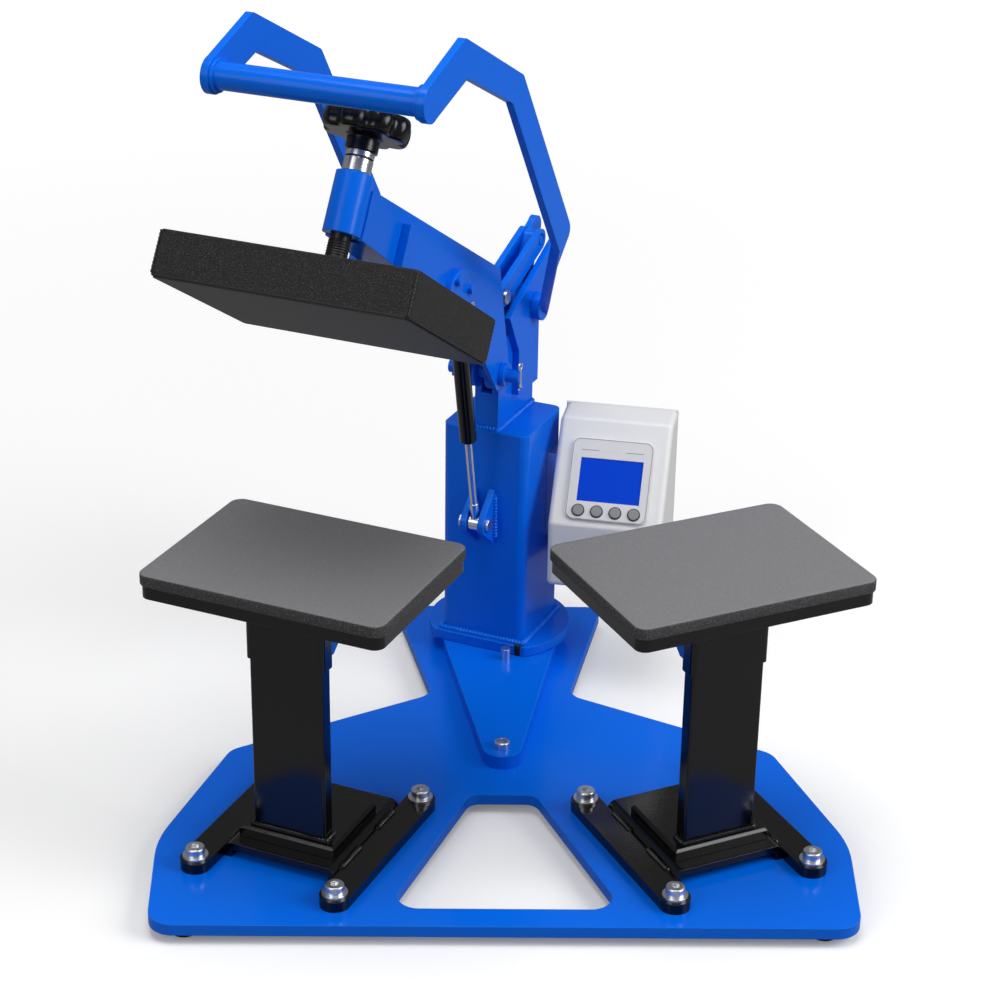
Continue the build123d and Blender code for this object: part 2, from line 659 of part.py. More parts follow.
def riser():
    pivot = YOKE_PIVOT
    hinge = (HINGE_AHEAD, HINGE_HEIGHT)
    wall = polygon([
        (RISER_REAR, COLUMN_TOP), (RISER_FRONT, COLUMN_TOP), (RISER_FRONT, hinge[1]),
        (hinge[0], hinge[1] + HINGE_NOSE_RADIUS), (pivot[0], pivot[1] + HUB_RADIUS),
        (RISER_REAR, pivot[1]),
    ]) + disc(*hinge, HINGE_NOSE_RADIUS) + disc(*pivot, HUB_RADIUS)
    body = across(wall, -RISER_HALF_WIDTH, RISER_HALF_WIDTH)
    inside = RISER_HALF_WIDTH - RISER_WALL
    hollow = polygon([
        (RISER_REAR + RISER_WALL, COLUMN_TOP + RISER_WALL),
        (RISER_FRONT - RISER_WALL, COLUMN_TOP + RISER_WALL),
        (RISER_FRONT - RISER_WALL, RISER_WEB_TOP), (RISER_FRONT + CUT_PAST, RISER_WEB_TOP),
        (RISER_FRONT + CUT_PAST, pivot[1] + CUT_PAST),
        (RISER_REAR - RISER_WALL, pivot[1] + CUT_PAST),
        (RISER_REAR - RISER_WALL, CHEEK_BEND), (RISER_REAR + RISER_WALL, CHEEK_BEND),
    ])
    body -= across(hollow, -inside, inside)
    body -= across(disc(*hinge, HINGE_PIN_RADIUS), -RISER_HALF_WIDTH, RISER_HALF_WIDTH)
    shaft = disc(*pivot, YOKE_SHAFT_RADIUS + RUNNING_FIT)
    return SWING * (body - across(shaft, -RISER_HALF_WIDTH, RISER_HALF_WIDTH))


def riser_cheeks():
    end = Vector(*HORN_END)
    along = (end - Vector(CHEEK_REAR, CHEEK_BEND)).normalized()
    lift = Vector(-along.Y, along.X) * -HORN_RADIUS
    outline = polygon([
        (CHEEK_REAR, CHEEK_FOOT), (CHEEK_FRONT, CHEEK_FOOT), CHEEK_THROAT, CHEEK_TIP,
        (end.X + lift.X, end.Y + lift.Y), (end.X - lift.X, end.Y - lift.Y), (CHEEK_REAR, CHEEK_BEND),
    ]) + disc(*HORN_END, HORN_RADIUS)
    outline -= disc(*YOKE_PIVOT, YOKE_SHAFT_RADIUS + RUNNING_FIT)
    return SWING * pair(across(outline, RISER_HALF_WIDTH, CHEEK_OUTER))


def hinge_pin():
    hinge = (HINGE_AHEAD, HINGE_HEIGHT)
    pin = across(disc(*hinge, HINGE_PIN_RADIUS), -HINGE_PIN_REACH, HINGE_PIN_REACH)
    for low in (ARM_OUTER + SIDE_GAP, -ARM_OUTER - SIDE_GAP - BRACKET_THICKNESS):
        pin += across(disc(*hinge, HINGE_WASHER_RADIUS), low, low + BRACKET_THICKNESS)
    for side in (-1, 1):
        place = Pos(side * (HINGE_PIN_REACH - COTTER_FROM_END), -HINGE_AHEAD, HINGE_HEIGHT)
        pin += place * Cylinder(COTTER_RADIUS, COTTER_LENGTH)
    return SWING * pin


def spring_ears():
    front = TUBE_WIDTH / 2
    outline = make_hull((
        disc(*SPRING_FOOT, SPRING_EAR_RADIUS)
        + polygon([
            (front, SPRING_EAR_BOTTOM), (front + SPRING_EAR_ROOT, SPRING_EAR_BOTTOM),
            (front + SPRING_EAR_ROOT, SPRING_EAR_TOP), (front, SPRING_EAR_TOP),
        ])
    ).edges())
    ear = across(outline, SPRING_EAR_INNER, SPRING_EAR_INNER + SPRING_EAR_THICKNESS)
    hole = across(disc(*SPRING_FOOT, SPRING_PIN_RADIUS), 0, TUBE_WIDTH / 2)
    return SWING * pair(ear - hole)


def spring_lower_bolt():
    reach = SPRING_EAR_INNER + SPRING_EAR_THICKNESS
    bolt = across(disc(*SPRING_FOOT, SPRING_PIN_RADIUS), -reach, reach)
    for low in (-reach - LINK_HEAD_HEIGHT, reach):
        bolt += across(disc(*SPRING_FOOT, LINK_HEAD_RADIUS), low, low + LINK_HEAD_HEIGHT)
    return SWING * bolt


# Gas spring

def spring_frame():
    """The frame whose Z runs along the spring from its foot to its head."""
    run = (SPRING_HEAD[0] - SPRING_FOOT[0], SPRING_HEAD[1] - SPRING_FOOT[1])
    lean = math.degrees(math.atan2(run[0], run[1]))
    return SWING * Pos(0, -SPRING_FOOT[0], SPRING_FOOT[1]) * Rot(lean, 0, 0)


def spring_length():
    return math.hypot(SPRING_HEAD[0] - SPRING_FOOT[0], SPRING_HEAD[1] - SPRING_FOOT[1])


def eye(radius, bore):
    """A spring's end eye about the origin, its bore along X."""
    ring = across(Circle(radius), -SPRING_EYE_HALF_WIDTH, SPRING_EYE_HALF_WIDTH)
    return ring - across(Circle(bore), -SPRING_EYE_HALF_WIDTH, SPRING_EYE_HALF_WIDTH)


def spring_rod():
    bore = SPRING_PIN_RADIUS + RUNNING_FIT
    root = (bore + SPRING_EYE_RADIUS) / 2
    rod = upright(Circle(SPRING_NECK_RADIUS), root, SPRING_EYE_RADIUS + SPRING_NECK_LENGTH)
    rod += upright(Circle(SPRING_ROD_RADIUS), root, SPRING_PISTON)
    piston = SPRING_RADIUS - SPRING_WALL - RUNNING_FIT
    rod += upright(Circle(piston), SPRING_PISTON - SPRING_PISTON_LENGTH, SPRING_PISTON)
    rod += eye(SPRING_EYE_RADIUS, bore)
    rod -= across(Circle(bore), -SPRING_RADIUS, SPRING_RADIUS)
    return spring_frame() * rod


def spring_cylinder():
    top = spring_length() - SPRING_HEAD_EYE_RADIUS
    bore = SPRING_PIN_RADIUS + SPRING_LOOSE_FIT
    body = upright(Circle(SPRING_RADIUS), SPRING_GLAND, top)
    body = fillet(body.edges().filter_by(GeomType.CIRCLE), SPRING_ROUND)
    body -= upright(Circle(SPRING_RADIUS - SPRING_WALL), SPRING_GLAND + SPRING_WALL, top - SPRING_NECK_LENGTH)
    body -= upright(Circle(SPRING_ROD_RADIUS + RUNNING_FIT), SPRING_GLAND, top - SPRING_NECK_LENGTH)
    head = across(Circle(SPRING_HEAD_EYE_RADIUS), -SPRING_EYE_HALF_WIDTH, SPRING_EYE_HALF_WIDTH)
    neck = upright(Circle(SPRING_NECK_RADIUS), top - SPRING_WALL, spring_length())
    body += Pos(0, 0, spring_length()) * head + neck
    body -= Pos(0, 0, spring_length()) * across(Circle(bore), -SPRING_RADIUS, SPRING_RADIUS)
    return spring_frame() * body


# Arm, built closed and then opened

def ear_point(angle):
    """The point of the hinge ear's rim at an angle above straight ahead."""
    turn = math.radians(angle)
    return (
        HINGE_AHEAD + HINGE_EAR_RADIUS * math.cos(turn),
        HINGE_HEIGHT + HINGE_EAR_RADIUS * math.sin(turn),
    )


def arm_outline():
    return polygon([
        ear_point(ARM_EAR_REAR_ANGLE),
        ARM_REAR_TOP,
        (ARM_END, ARM_FRONT_TOP_HEIGHT),
        (ARM_END, ARM_FRONT_BOTTOM_HEIGHT),
        ARM_BELLY,
        ear_point(ARM_EAR_FRONT_ANGLE),
    ]) + disc(HINGE_AHEAD, HINGE_HEIGHT, HINGE_EAR_RADIUS)


def closed(point):
    """Where an open point of the arm lies once the head is closed."""
    turn = math.radians(OPEN_ANGLE)
    ahead = point[0] - HINGE_AHEAD
    up = point[1] - HINGE_HEIGHT
    return (
        HINGE_AHEAD + ahead * math.cos(turn) + up * math.sin(turn),
        HINGE_HEIGHT - ahead * math.sin(turn) + up * math.cos(turn),
    )


def arm_plates():
    outline = arm_outline() - disc(HINGE_AHEAD, HINGE_HEIGHT, HINGE_PIN_RADIUS + RUNNING_FIT)
    outline -= disc(*closed(SPRING_HEAD), SPRING_PIN_RADIUS)
    return SWING * OPEN * pair(across(outline, ARM_INNER, ARM_OUTER))


def arm_web():
    front = TABLE_RADIUS - SLEEVE_RADIUS
    rise = (ARM_FRONT_BOTTOM_HEIGHT - ARM_BELLY[1]) / (ARM_END - ARM_BELLY[0])
    low_rear = ARM_BELLY[1] + rise * (ARM_WEB_REAR - ARM_BELLY[0])
    low_front = ARM_BELLY[1] + rise * (front - ARM_BELLY[0])
    outline = polygon([
        (ARM_WEB_REAR, low_rear), (front, low_front),
        (front, low_front + ARM_WEB_THICKNESS), (ARM_WEB_REAR, low_rear + ARM_WEB_THICKNESS),
    ])
    return SWING * OPEN * across(outline, -ARM_INNER, ARM_INNER)


def screw_sleeve():
    ring = Circle(SLEEVE_RADIUS) - Circle(ROD_RADIUS + RUNNING_FIT)
    sleeve = Pos(0, -TABLE_RADIUS, 0) * upright(ring, SLEEVE_BOTTOM, SLEEVE_TOP)
    for low, high in ((ARM_INNER, ARM_OUTER), (-ARM_OUTER, -ARM_INNER)):
        sleeve -= across(arm_outline(), low, high)
    return SWING * OPEN * sleeve


def link_lug():
    pin = closed(LINK_PIN)
    middle = (LUG_BLOCK_BOTTOM + LUG_BLOCK_TOP) / 2
    half = (LUG_BLOCK_TOP - LUG_BLOCK_BOTTOM) / 2
    tongue = polygon([
        (pin[0], pin[1] + LUG_RADIUS), (pin[0], pin[1] - LUG_RADIUS),
        (LUG_END, middle - half), (LUG_END, middle + half),
    ]) + disc(*pin, LUG_RADIUS)
    lug = across(tongue, -LUG_HALF_THICKNESS, LUG_HALF_THICKNESS)
    block = polygon([
        (LUG_END - LUG_BLOCK_DEPTH, LUG_BLOCK_BOTTOM), (LUG_END, LUG_BLOCK_BOTTOM),
        (LUG_END, LUG_BLOCK_TOP), (LUG_END - LUG_BLOCK_DEPTH, LUG_BLOCK_TOP),
    ])
    lug += across(block, -ARM_INNER, ARM_INNER)
    lug -= across(disc(*pin, LINK_PIN_RADIUS), -ARM_INNER, ARM_INNER)
    return SWING * OPEN * lug


def arm_pins():
    pin = closed(LINK_PIN)
    reach = LINK_INNER + LINK_THICKNESS
    link = across(disc(*pin, LINK_PIN_RADIUS), -reach - SIDE_GAP, reach + SIDE_GAP)
    for side in (-1, 1):
        low = min(side * (reach + SIDE_GAP), side * (reach + SIDE_GAP + LINK_HEAD_HEIGHT))
        link += across(disc(*pin, LINK_HEAD_RADIUS), low, low + LINK_HEAD_HEIGHT)
    spring = across(disc(*closed(SPRING_HEAD), SPRING_PIN_RADIUS), -ARM_OUTER, ARM_OUTER)
    return SWING * OPEN * group([link, spring])


def arm_bracket():
    half_disc = disc(BRACKET_AHEAD, BRACKET_HEIGHT, BRACKET_RADIUS)
    lower = Pos(BRACKET_AHEAD, BRACKET_HEIGHT - CUT_PAST / 2) * Rectangle(2 * CUT_PAST, CUT_PAST)
    plate = across(half_disc - lower, ARM_OUTER, ARM_OUTER + BRACKET_THICKNESS)
    pieces = [plate]
    for spread in (-BRACKET_SCREW_SPREAD, BRACKET_SCREW_SPREAD):
        place = disc(BRACKET_AHEAD + spread, BRACKET_HEIGHT + BRACKET_SCREW_RISE, BRACKET_SCREW_RADIUS)
        outer = ARM_OUTER + BRACKET_THICKNESS
        pieces.append(across(place, outer, outer + BRACKET_SCREW_RADIUS))
    return SWING * OPEN * group(pieces)


# Platen

def heater_cover():
    outer = RectangleRounded(COVER_LENGTH, COVER_DEPTH, COVER_CORNER)
    inner = RectangleRounded(
        COVER_LENGTH - 2 * COVER_WALL, COVER_DEPTH - 2 * COVER_WALL, COVER_CORNER - COVER_WALL
    )
    shell = upright(outer, PLATEN_BOTTOM + PLATE_LIP, PLATEN_TOP)
    shell = fillet(shell.edges().group_by(Axis.Z)[-1], COVER_WALL)
    shell -= upright(inner, PLATEN_BOTTOM + PLATE_LIP, PLATEN_TOP - COVER_WALL)
    return SWING * OPEN * Pos(0, -TABLE_RADIUS, 0) * shell


def heater_block():
    inset = 2 * (COVER_WALL + BLOCK_CLEARANCE)
    slab = RectangleRounded(COVER_LENGTH - inset, COVER_DEPTH - inset, COVER_CORNER - COVER_WALL)
    return SWING * OPEN * Pos(0, -TABLE_RADIUS, 0) * upright(slab, PLATEN_BOTTOM, BLOCK_TOP)


def heating_element():
    half = ELEMENT_LENGTH / 2
    spread = ELEMENT_SPREAD / 2
    path = Line((-half, -spread), (half, -spread))
    path += RadiusArc((half, -spread), (half, spread), -spread)
    path += Line((half, spread), (-half, spread))
    section = Plane(origin=(-half, -spread, 0), z_dir=(1, 0, 0)) * Circle(ELEMENT_RADIUS)
    rod = sweep(section, path)
    return SWING * OPEN * Pos(0, -TABLE_RADIUS, BLOCK_TOP + ELEMENT_RADIUS) * rod


def insulation_board():
    margin = 2 * (COVER_WALL + INSULATION_MARGIN)
    slab = Rectangle(COVER_LENGTH - margin, COVER_DEPTH - margin)
    bottom = BLOCK_TOP + 2 * ELEMENT_RADIUS
    return SWING * OPEN * Pos(0, -TABLE_RADIUS, 0) * upright(slab, bottom, bottom + INSULATION_THICKNESS)


def swivel_boss():
    boss = upright(Circle(BOSS_RADIUS), PLATEN_TOP, PLATEN_TOP + BOSS_HEIGHT)
    boss = chamfer(boss.edges().group_by(Axis.Z)[-1], BOSS_CHAMFER)
    boss -= upright(Circle(ROD_RADIUS + RUNNING_FIT), PLATEN_TOP + BOSS_FLOOR, PLATEN_TOP + BOSS_HEIGHT)
    return SWING * OPEN * Pos(0, -TABLE_RADIUS, 0) * boss


def guide_bars():
    ahead = TABLE_RADIUS - GUIDE_BACK
    outline = polygon([
        (ahead - GUIDE_WIDTH / 2, PLATEN_TOP), (ahead + GUIDE_WIDTH / 2, PLATEN_TOP),
        (ahead + GUIDE_WIDTH / 2, GUIDE_TOP), (ahead - GUIDE_WIDTH / 2, GUIDE_TOP),
    ])
    low = ARM_OUTER + SIDE_GAP
    return SWING * OPEN * pair(across(outline, low, low + GUIDE_THICKNESS))


# Pressure screw

def pressure_screw():
    bottom = PLATEN_TOP + BOSS_FLOOR + RUNNING_FIT
    rod = upright(Circle(ROD_RADIUS), bottom, KNOB_TOP)
    rod += upright(Circle(COLLAR_RADIUS), COLLAR_BOTTOM, KNOB_HUB_BOTTOM)
    rod += upright(RegularPolygon(KNOB_NUT_RADIUS, 6), KNOB_TOP, KNOB_TOP + KNOB_NUT_HEIGHT)
    return SWING * OPEN * Pos(0, -TABLE_RADIUS, 0) * rod


def pressure_knob():
    outline = Circle(KNOB_RADIUS)
    reach = KNOB_RADIUS + KNOB_SCALLOP_RADIUS - KNOB_SCALLOP_DEPTH
    for lobe in range(KNOB_LOBES):
        outline -= Rot(0, 0, lobe * 360 / KNOB_LOBES) * Pos(reach, 0) * Circle(KNOB_SCALLOP_RADIUS)
    outline = fillet(outline.vertices(), KNOB_LOBE_ROUND)
    knob = upright(outline, KNOB_BOTTOM, KNOB_TOP)
    knob = chamfer(knob.edges().group_by(Axis.Z)[-1], KNOB_CHAMFER)
    knob += upright(Circle(KNOB_HUB_RADIUS), KNOB_HUB_BOTTOM, KNOB_BOTTOM)
    knob -= upright(Circle(ROD_RADIUS), KNOB_HUB_BOTTOM, KNOB_TOP)
    return SWING * OPEN * Pos(0, -TABLE_RADIUS, 0) * knob


# Yoke and link

def yoke_side():
    """The right side of the yoke: its plate, the leg that comes in from it, and the hub."""
    inner = YOKE_OUTER - YOKE_THICKNESS
    outline = rounded(YOKE_OUTLINE, YOKE_CORNERS) + disc(*GRIP_CENTRE, GRIP_END_RADIUS)
    side = across(outline, inner, YOKE_OUTER)
    section = Rot(0, 0, LEG_SLOPE) * Rectangle(LEG_WIDTH, LEG_THICKNESS)
    start = Vector(inner, -LEG_CENTRE[0], LEG_CENTRE[1])
    finish = Vector(HUB_OUTER - RUNNING_FIT, -YOKE_PIVOT[0], YOKE_PIVOT[1])
    leg = finish - start
    side += extrude(side_plane(inner) * Pos(*LEG_CENTRE) * section, amount=leg.length, dir=leg)
    side += across(disc(*YOKE_PIVOT, HUB_RADIUS), HUB_INNER, HUB_OUTER)
    return side - across(disc(*YOKE_PIVOT, YOKE_SHAFT_RADIUS), HUB_INNER, HUB_OUTER)


def yoke_sides():
    return SWING * pair(yoke_side())


def grip_tube():
    inner = YOKE_OUTER - YOKE_THICKNESS
    ring = disc(*GRIP_CENTRE, GRIP_RADIUS) - disc(*GRIP_CENTRE, GRIP_RADIUS - GRIP_WALL)
    tube = across(ring, -inner, inner)
    collar = disc(*GRIP_CENTRE, GRIP_COLLAR_RADIUS) - disc(*GRIP_CENTRE, GRIP_RADIUS - GRIP_WALL)
    for low in (-inner, inner - GRIP_COLLAR_WIDTH):
        tube += across(collar, low, low + GRIP_COLLAR_WIDTH)
    return SWING * tube


def yoke_shaft():
    shaft = across(disc(*YOKE_PIVOT, YOKE_SHAFT_RADIUS), -HUB_OUTER, HUB_OUTER)
    crank = bar(YOKE_PIVOT, CRANK_PIN, 2 * CRANK_ROLLER_RADIUS)
    shaft += across(crank, -CRANK_HALF_THICKNESS, CRANK_HALF_THICKNESS)
    reach = LINK_INNER + LINK_THICKNESS
    shaft += across(disc(*CRANK_PIN, CRANK_PIN_RADIUS), -reach, reach)
    return SWING * shaft


def link_bars():
    outline = bar(LINK_PIN, CRANK_PIN, LINK_WIDTH)
    outline -= disc(*LINK_PIN, LINK_PIN_RADIUS + RUNNING_FIT)
    outline -= disc(*CRANK_PIN, CRANK_PIN_RADIUS + LINK_LOOSE_FIT)
    return SWING * pair(across(outline, LINK_INNER, LINK_INNER + LINK_THICKNESS))


# Controller

CONTROLLER = (
    SWING * Pos(CONTROLLER_SIDE, -CONTROLLER_AHEAD, CONTROLLER_TOP) * Rot(0, 0, CONTROLLER_TURN)
)
SLOPE_LENGTH = math.hypot(CONTROLLER_SLOPE_DEPTH, CONTROLLER_SLOPE_HEIGHT)
SLOPE_NORMAL = (0, -CONTROLLER_SLOPE_HEIGHT / SLOPE_LENGTH, CONTROLLER_SLOPE_DEPTH / SLOPE_LENGTH)
SLOPE = Plane(origin=(0, 0, 0), x_dir=(1, 0, 0), z_dir=SLOPE_NORMAL)


def controller_profile(inset):
    """The controller's side view, drawn in Y and Z, moved inwards by the inset."""
    back = CONTROLLER_TOP_DEPTH
    lean = CONTROLLER_SLOPE_DEPTH / CONTROLLER_SLOPE_HEIGHT
    normal = math.hypot(1, lean)
    top_front = inset * (normal - lean)
    knee_drop = inset * (normal - 1) / lean
    front = -CONTROLLER_SLOPE_DEPTH + inset
    bottom = -CONTROLLER_HEIGHT + inset
    return [
        (top_front, -inset), (back, -inset), (back, bottom), (front, bottom),
        (front, -CONTROLLER_SLOPE_HEIGHT - knee_drop),
    ]


def controller_solid(inset):
    """The controller as a full prism of its side view, moved inwards by the inset."""
    side = Plane(origin=(inset, 0, 0), x_dir=(0, 1, 0), z_dir=(1, 0, 0))
    width = CONTROLLER_WIDTH - 2 * inset
    return extrude(side * polygon(controller_profile(inset)), amount=width, dir=(1, 0, 0))


def controller_case():
    case = controller_solid(0)
    edges = case.edges().filter_by(lambda edge: edge.center().Y < CONTROLLER_TOP_DEPTH - CONTROLLER_WALL)
    case = fillet(edges, CONTROLLER_CORNER)
    case -= controller_solid(CONTROLLER_WALL)
    case -= Pos(0, CONTROLLER_TOP_DEPTH - CONTROLLER_BACK_THICKNESS, 0) * back_slab()
    for number in range(BUTTON_COUNT):
        case -= button_hole(number)
    return CONTROLLER * case


def back_slab():
    """The slab that closes the controller's back, its front face on Y = 0."""
    size = (CONTROLLER_WIDTH, CONTROLLER_BACK_THICKNESS, CONTROLLER_HEIGHT)
    return Box(*size, align=(Align.MIN, Align.MIN, Align.MAX))


def board_place():
    return Pos(
        CONTROLLER_WIDTH / 2,
        CONTROLLER_TOP_DEPTH - CONTROLLER_BACK_THICKNESS - STANDOFF_LENGTH,
        -CONTROLLER_HEIGHT / 2,
    )


def controller_back():
    back = Pos(0, CONTROLLER_TOP_DEPTH - CONTROLLER_BACK_THICKNESS, 0) * back_slab()
    corners = GridLocations(BOARD_WIDTH - 2 * STANDOFF_INSET, BOARD_HEIGHT - 2 * STANDOFF_INSET, 2, 2)
    for corner in corners:
        peg = Cylinder(STANDOFF_RADIUS, STANDOFF_LENGTH, align=(Align.CENTER, Align.CENTER, Align.MIN))
        back += board_place() * Rot(-90, 0, 0) * corner * peg
    return CONTROLLER * back


def circuit_board():
    board = Box(BOARD_WIDTH, BOARD_THICKNESS, BOARD_HEIGHT, align=(Align.CENTER, Align.MAX, Align.CENTER))
    return CONTROLLER * board_place() * board


def power_inlet():
    block = Box(INLET_WIDTH, INLET_DEPTH, INLET_HEIGHT, align=(Align.CENTER, Align.MIN, Align.CENTER))
    block = fillet(block.edges().filter_by(Axis.Y), INLET_CORNER)
    mouth_width = INLET_WIDTH - 2 * INLET_WALL
    mouth_height = INLET_HEIGHT - 2 * INLET_WALL
    mouth = Box(mouth_width, INLET_DEPTH, mouth_height, align=(Align.CENTER, Align.MIN, Align.CENTER))
    block -= Pos(0, CONTROLLER_WALL, 0) * mouth
    place = Pos(CONTROLLER_WIDTH / 2, CONTROLLER_TOP_DEPTH, -CONTROLLER_HEIGHT + INLET_RISE)
    return CONTROLLER * place * block


def display_bezel():
    plate = SLOPE * Pos(BEZEL_ACROSS, -BEZEL_DOWN) * RectangleRounded(BEZEL_WIDTH, BEZEL_HEIGHT, BEZEL_CORNER)
    bezel = extrude(plate, amount=BEZEL_THICKNESS, dir=SLOPE_NORMAL)
    window = SLOPE * Pos(BEZEL_ACROSS, -DISPLAY_DOWN) * Rectangle(DISPLAY_WIDTH, DISPLAY_HEIGHT)
    bezel -= extrude(window, amount=BEZEL_THICKNESS, dir=SLOPE_NORMAL)
    for number in range(BUTTON_COUNT):
        bezel -= button_hole(number)
    return CONTROLLER * bezel


def display_window():
    window = SLOPE * Pos(BEZEL_ACROSS, -DISPLAY_DOWN) * Rectangle(DISPLAY_WIDTH, DISPLAY_HEIGHT)
    return CONTROLLER * extrude(window, amount=DISPLAY_THICKNESS, dir=SLOPE_NORMAL)


def button_place(number):
    return SLOPE.location * Pos(BUTTON_FIRST + number * BUTTON_PITCH, -BUTTON_DOWN, 0)


def button_hole(number):
    hole = upright(Circle(BUTTON_RADIUS + BUTTON_FIT), -2 * CONTROLLER_WALL, 2 * CONTROLLER_WALL)
    return button_place(number) * hole


def button(number):
    top = BEZEL_THICKNESS + BUTTON_PROUD
    cap = upright(Circle(BUTTON_RADIUS), top - BUTTON_STEM, top)
    cap = fillet(cap.edges().group_by(Axis.Z)[-1], BUTTON_ROUND)
    return CONTROLLER * button_place(number) * cap


def controller_bracket():
    face = TUBE_WIDTH / 2
    turn = math.radians(CONTROLLER_TURN)
    gap = SIDE_GAP / math.cos(turn)

    def side_at(ahead):
        return CONTROLLER_SIDE + (ahead - CONTROLLER_AHEAD) * math.tan(turn) - gap

    rear = BRACKET_PLATE_REAR
    front = BRACKET_PLATE_FRONT
    outline = polygon([(face, -front), (face, -rear), (side_at(rear), -rear), (side_at(front), -front)])
    return SWING * upright(outline, BRACKET_PLATE_BOTTOM, BRACKET_PLATE_TOP)


def nodes():
    """Every node's name and its shape."""
    shapes = {
        "base_plate": base_plate(),
        "rubber_feet": rubber_feet(),
        "index_plate": index_plate(),
        "index_screw": index_screw(),
        "swivel_spindle": swivel_spindle(),
        "spindle_bushes": spindle_bushes(),
        "stop_post": stop_post(),
        "foot_bars": foot_bars(),
        "foot_plates": foot_plates(),
        "post_blocks": post_blocks(),
        "posts": posts(),
        "foot_screws": foot_screws(),
        "column_foot_flange": column_foot_flange(),
        "stop_bumper": stop_bumper(),
        "column_tube": column_tube(),
        "bearing_plate": bearing_plate(),
        "riser": riser(),
        "riser_cheeks": riser_cheeks(),
        "hinge_pin": hinge_pin(),
        "spring_ears": spring_ears(),
        "spring_lower_bolt": spring_lower_bolt(),
        "spring_rod": spring_rod(),
        "spring_cylinder": spring_cylinder(),
        "arm_plates": arm_plates(),
        "arm_web": arm_web(),
        "screw_sleeve": screw_sleeve(),
        "link_lug": link_lug(),
        "arm_pins": arm_pins(),
        "arm_bracket": arm_bracket(),
        "heater_cover": heater_cover(),
        "heater_block": heater_block(),
        "heating_element": heating_element(),
        "insulation_board": insulation_board(),
        "swivel_boss": swivel_boss(),
        "guide_bars": guide_bars(),
        "pressure_screw": pressure_screw(),
        "pressure_knob": pressure_knob(),
        "yoke_sides": yoke_sides(),
        "grip_tube": grip_tube(),
        "yoke_shaft": yoke_shaft(),
        "link_bars": link_bars(),
        "controller_bracket": controller_bracket(),
        "controller_case": controller_case(),
        "controller_back": controller_back(),
        "circuit_board": circuit_board(),
        "power_inlet": power_inlet(),
        "display_bezel": display_bezel(),
        "display_window": display_window(),
    }
    for number in range(BUTTON_COUNT):
        shapes[f"button_{number + 1}"] = button(number)
    tables = {
        "table_sleeve": table_sleeve(),
        "table_plate": table_plate(),
        "table_pad": table_pad(),
        "table_gusset": table_gusset(),
    }
    for name, shape in tables.items():
        shapes[f"left_{name}"] = shape
        shapes[f"right_{name}"] = mirrored(shape)
    return shapes


def main():
    os.makedirs("parts", exist_ok=True)
    for name, shape in nodes().items():
        export_step(shape, f"parts/{name}.step")


if __name__ == "__main__":
    main()
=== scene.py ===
import json
import logging
import math
from dataclasses import dataclass
from enum import Enum

import bpy
import numpy as np
from mathutils import Matrix, Vector


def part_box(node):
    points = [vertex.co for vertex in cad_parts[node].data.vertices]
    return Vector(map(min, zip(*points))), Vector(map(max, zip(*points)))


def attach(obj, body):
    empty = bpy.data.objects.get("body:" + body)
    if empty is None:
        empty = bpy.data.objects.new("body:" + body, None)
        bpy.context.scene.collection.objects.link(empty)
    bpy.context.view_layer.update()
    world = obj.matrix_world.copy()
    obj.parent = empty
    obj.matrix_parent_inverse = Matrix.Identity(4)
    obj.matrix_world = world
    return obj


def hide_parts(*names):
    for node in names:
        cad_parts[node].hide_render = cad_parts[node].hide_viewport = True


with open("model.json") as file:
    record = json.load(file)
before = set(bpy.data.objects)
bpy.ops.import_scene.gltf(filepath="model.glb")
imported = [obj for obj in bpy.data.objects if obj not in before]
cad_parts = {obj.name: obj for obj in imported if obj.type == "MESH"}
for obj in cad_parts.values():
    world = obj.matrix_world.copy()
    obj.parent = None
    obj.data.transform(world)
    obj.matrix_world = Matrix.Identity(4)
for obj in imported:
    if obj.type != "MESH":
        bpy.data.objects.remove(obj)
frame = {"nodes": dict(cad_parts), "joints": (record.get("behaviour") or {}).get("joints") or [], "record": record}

LOG = logging.getLogger("press")
MM = 0.001
UP = np.array([0.0, 0.0, 1.0])
# How far each table stands to its side of straight ahead, seen from the swing axis
SWING_ANGLE = math.radians(24.4)
# Edges between faces that meet at more than this are shaded sharp
SHARP_ANGLE = math.radians(35)
NOISE_ROUGHNESS = 0.6
GRAIN_DETAIL = 3.0
SPECK_STEEPNESS = 14.0
BEVEL_SAMPLES = 6
DUST_SCALE = 24.0
DUST_DETAIL = 4.0
# A finish without its own speck colour gets its colour times the gain, plus the lift
SPECK_GAIN = 1.12
SPECK_LIFT = 0.002
ROUGHNESS_SPREAD = 0.12
COAT_ROUGHNESS = 0.08
# How much paler the specks are on the painted lit top, and how far up the normal must point to get the painted lit
# colour
LIT_TOP_SPECK_GAIN = 1.35
LIT_TOP_UPWARD = 0.8


class Grain(Enum):
    """How coarse the relief of a moulded or sprayed surface is, as a noise scale per metre."""

    ORANGE_PEEL = 420.0
    SAND = 1500.0
    MOULDED = 1900.0
    SATIN = 2600.0


class Layout(Enum):
    """Which table a piece belongs to, as the sign of its X."""

    LEFT = -1
    RIGHT = 1


# Shader helpers

def link(tree: bpy.types.NodeTree, source: bpy.types.NodeSocket, target: bpy.types.NodeSocket) -> None:
    """Joins two sockets."""
    tree.links.new(source, target)


def add_node(tree: bpy.types.NodeTree, kind: str, **values: object) -> bpy.types.Node:
    """Adds a shader node and sets its inputs by name.

    Args:
        tree: the tree that gets the node.
        kind: the node's type, without the ShaderNode prefix.
        values: input sockets by name, with underscores for spaces.

    Returns:
        The new node.
    """
    node = tree.nodes.new("ShaderNode" + kind)
    for name, value in values.items():
        node.inputs[name.replace("_", " ")].default_value = value
    return node


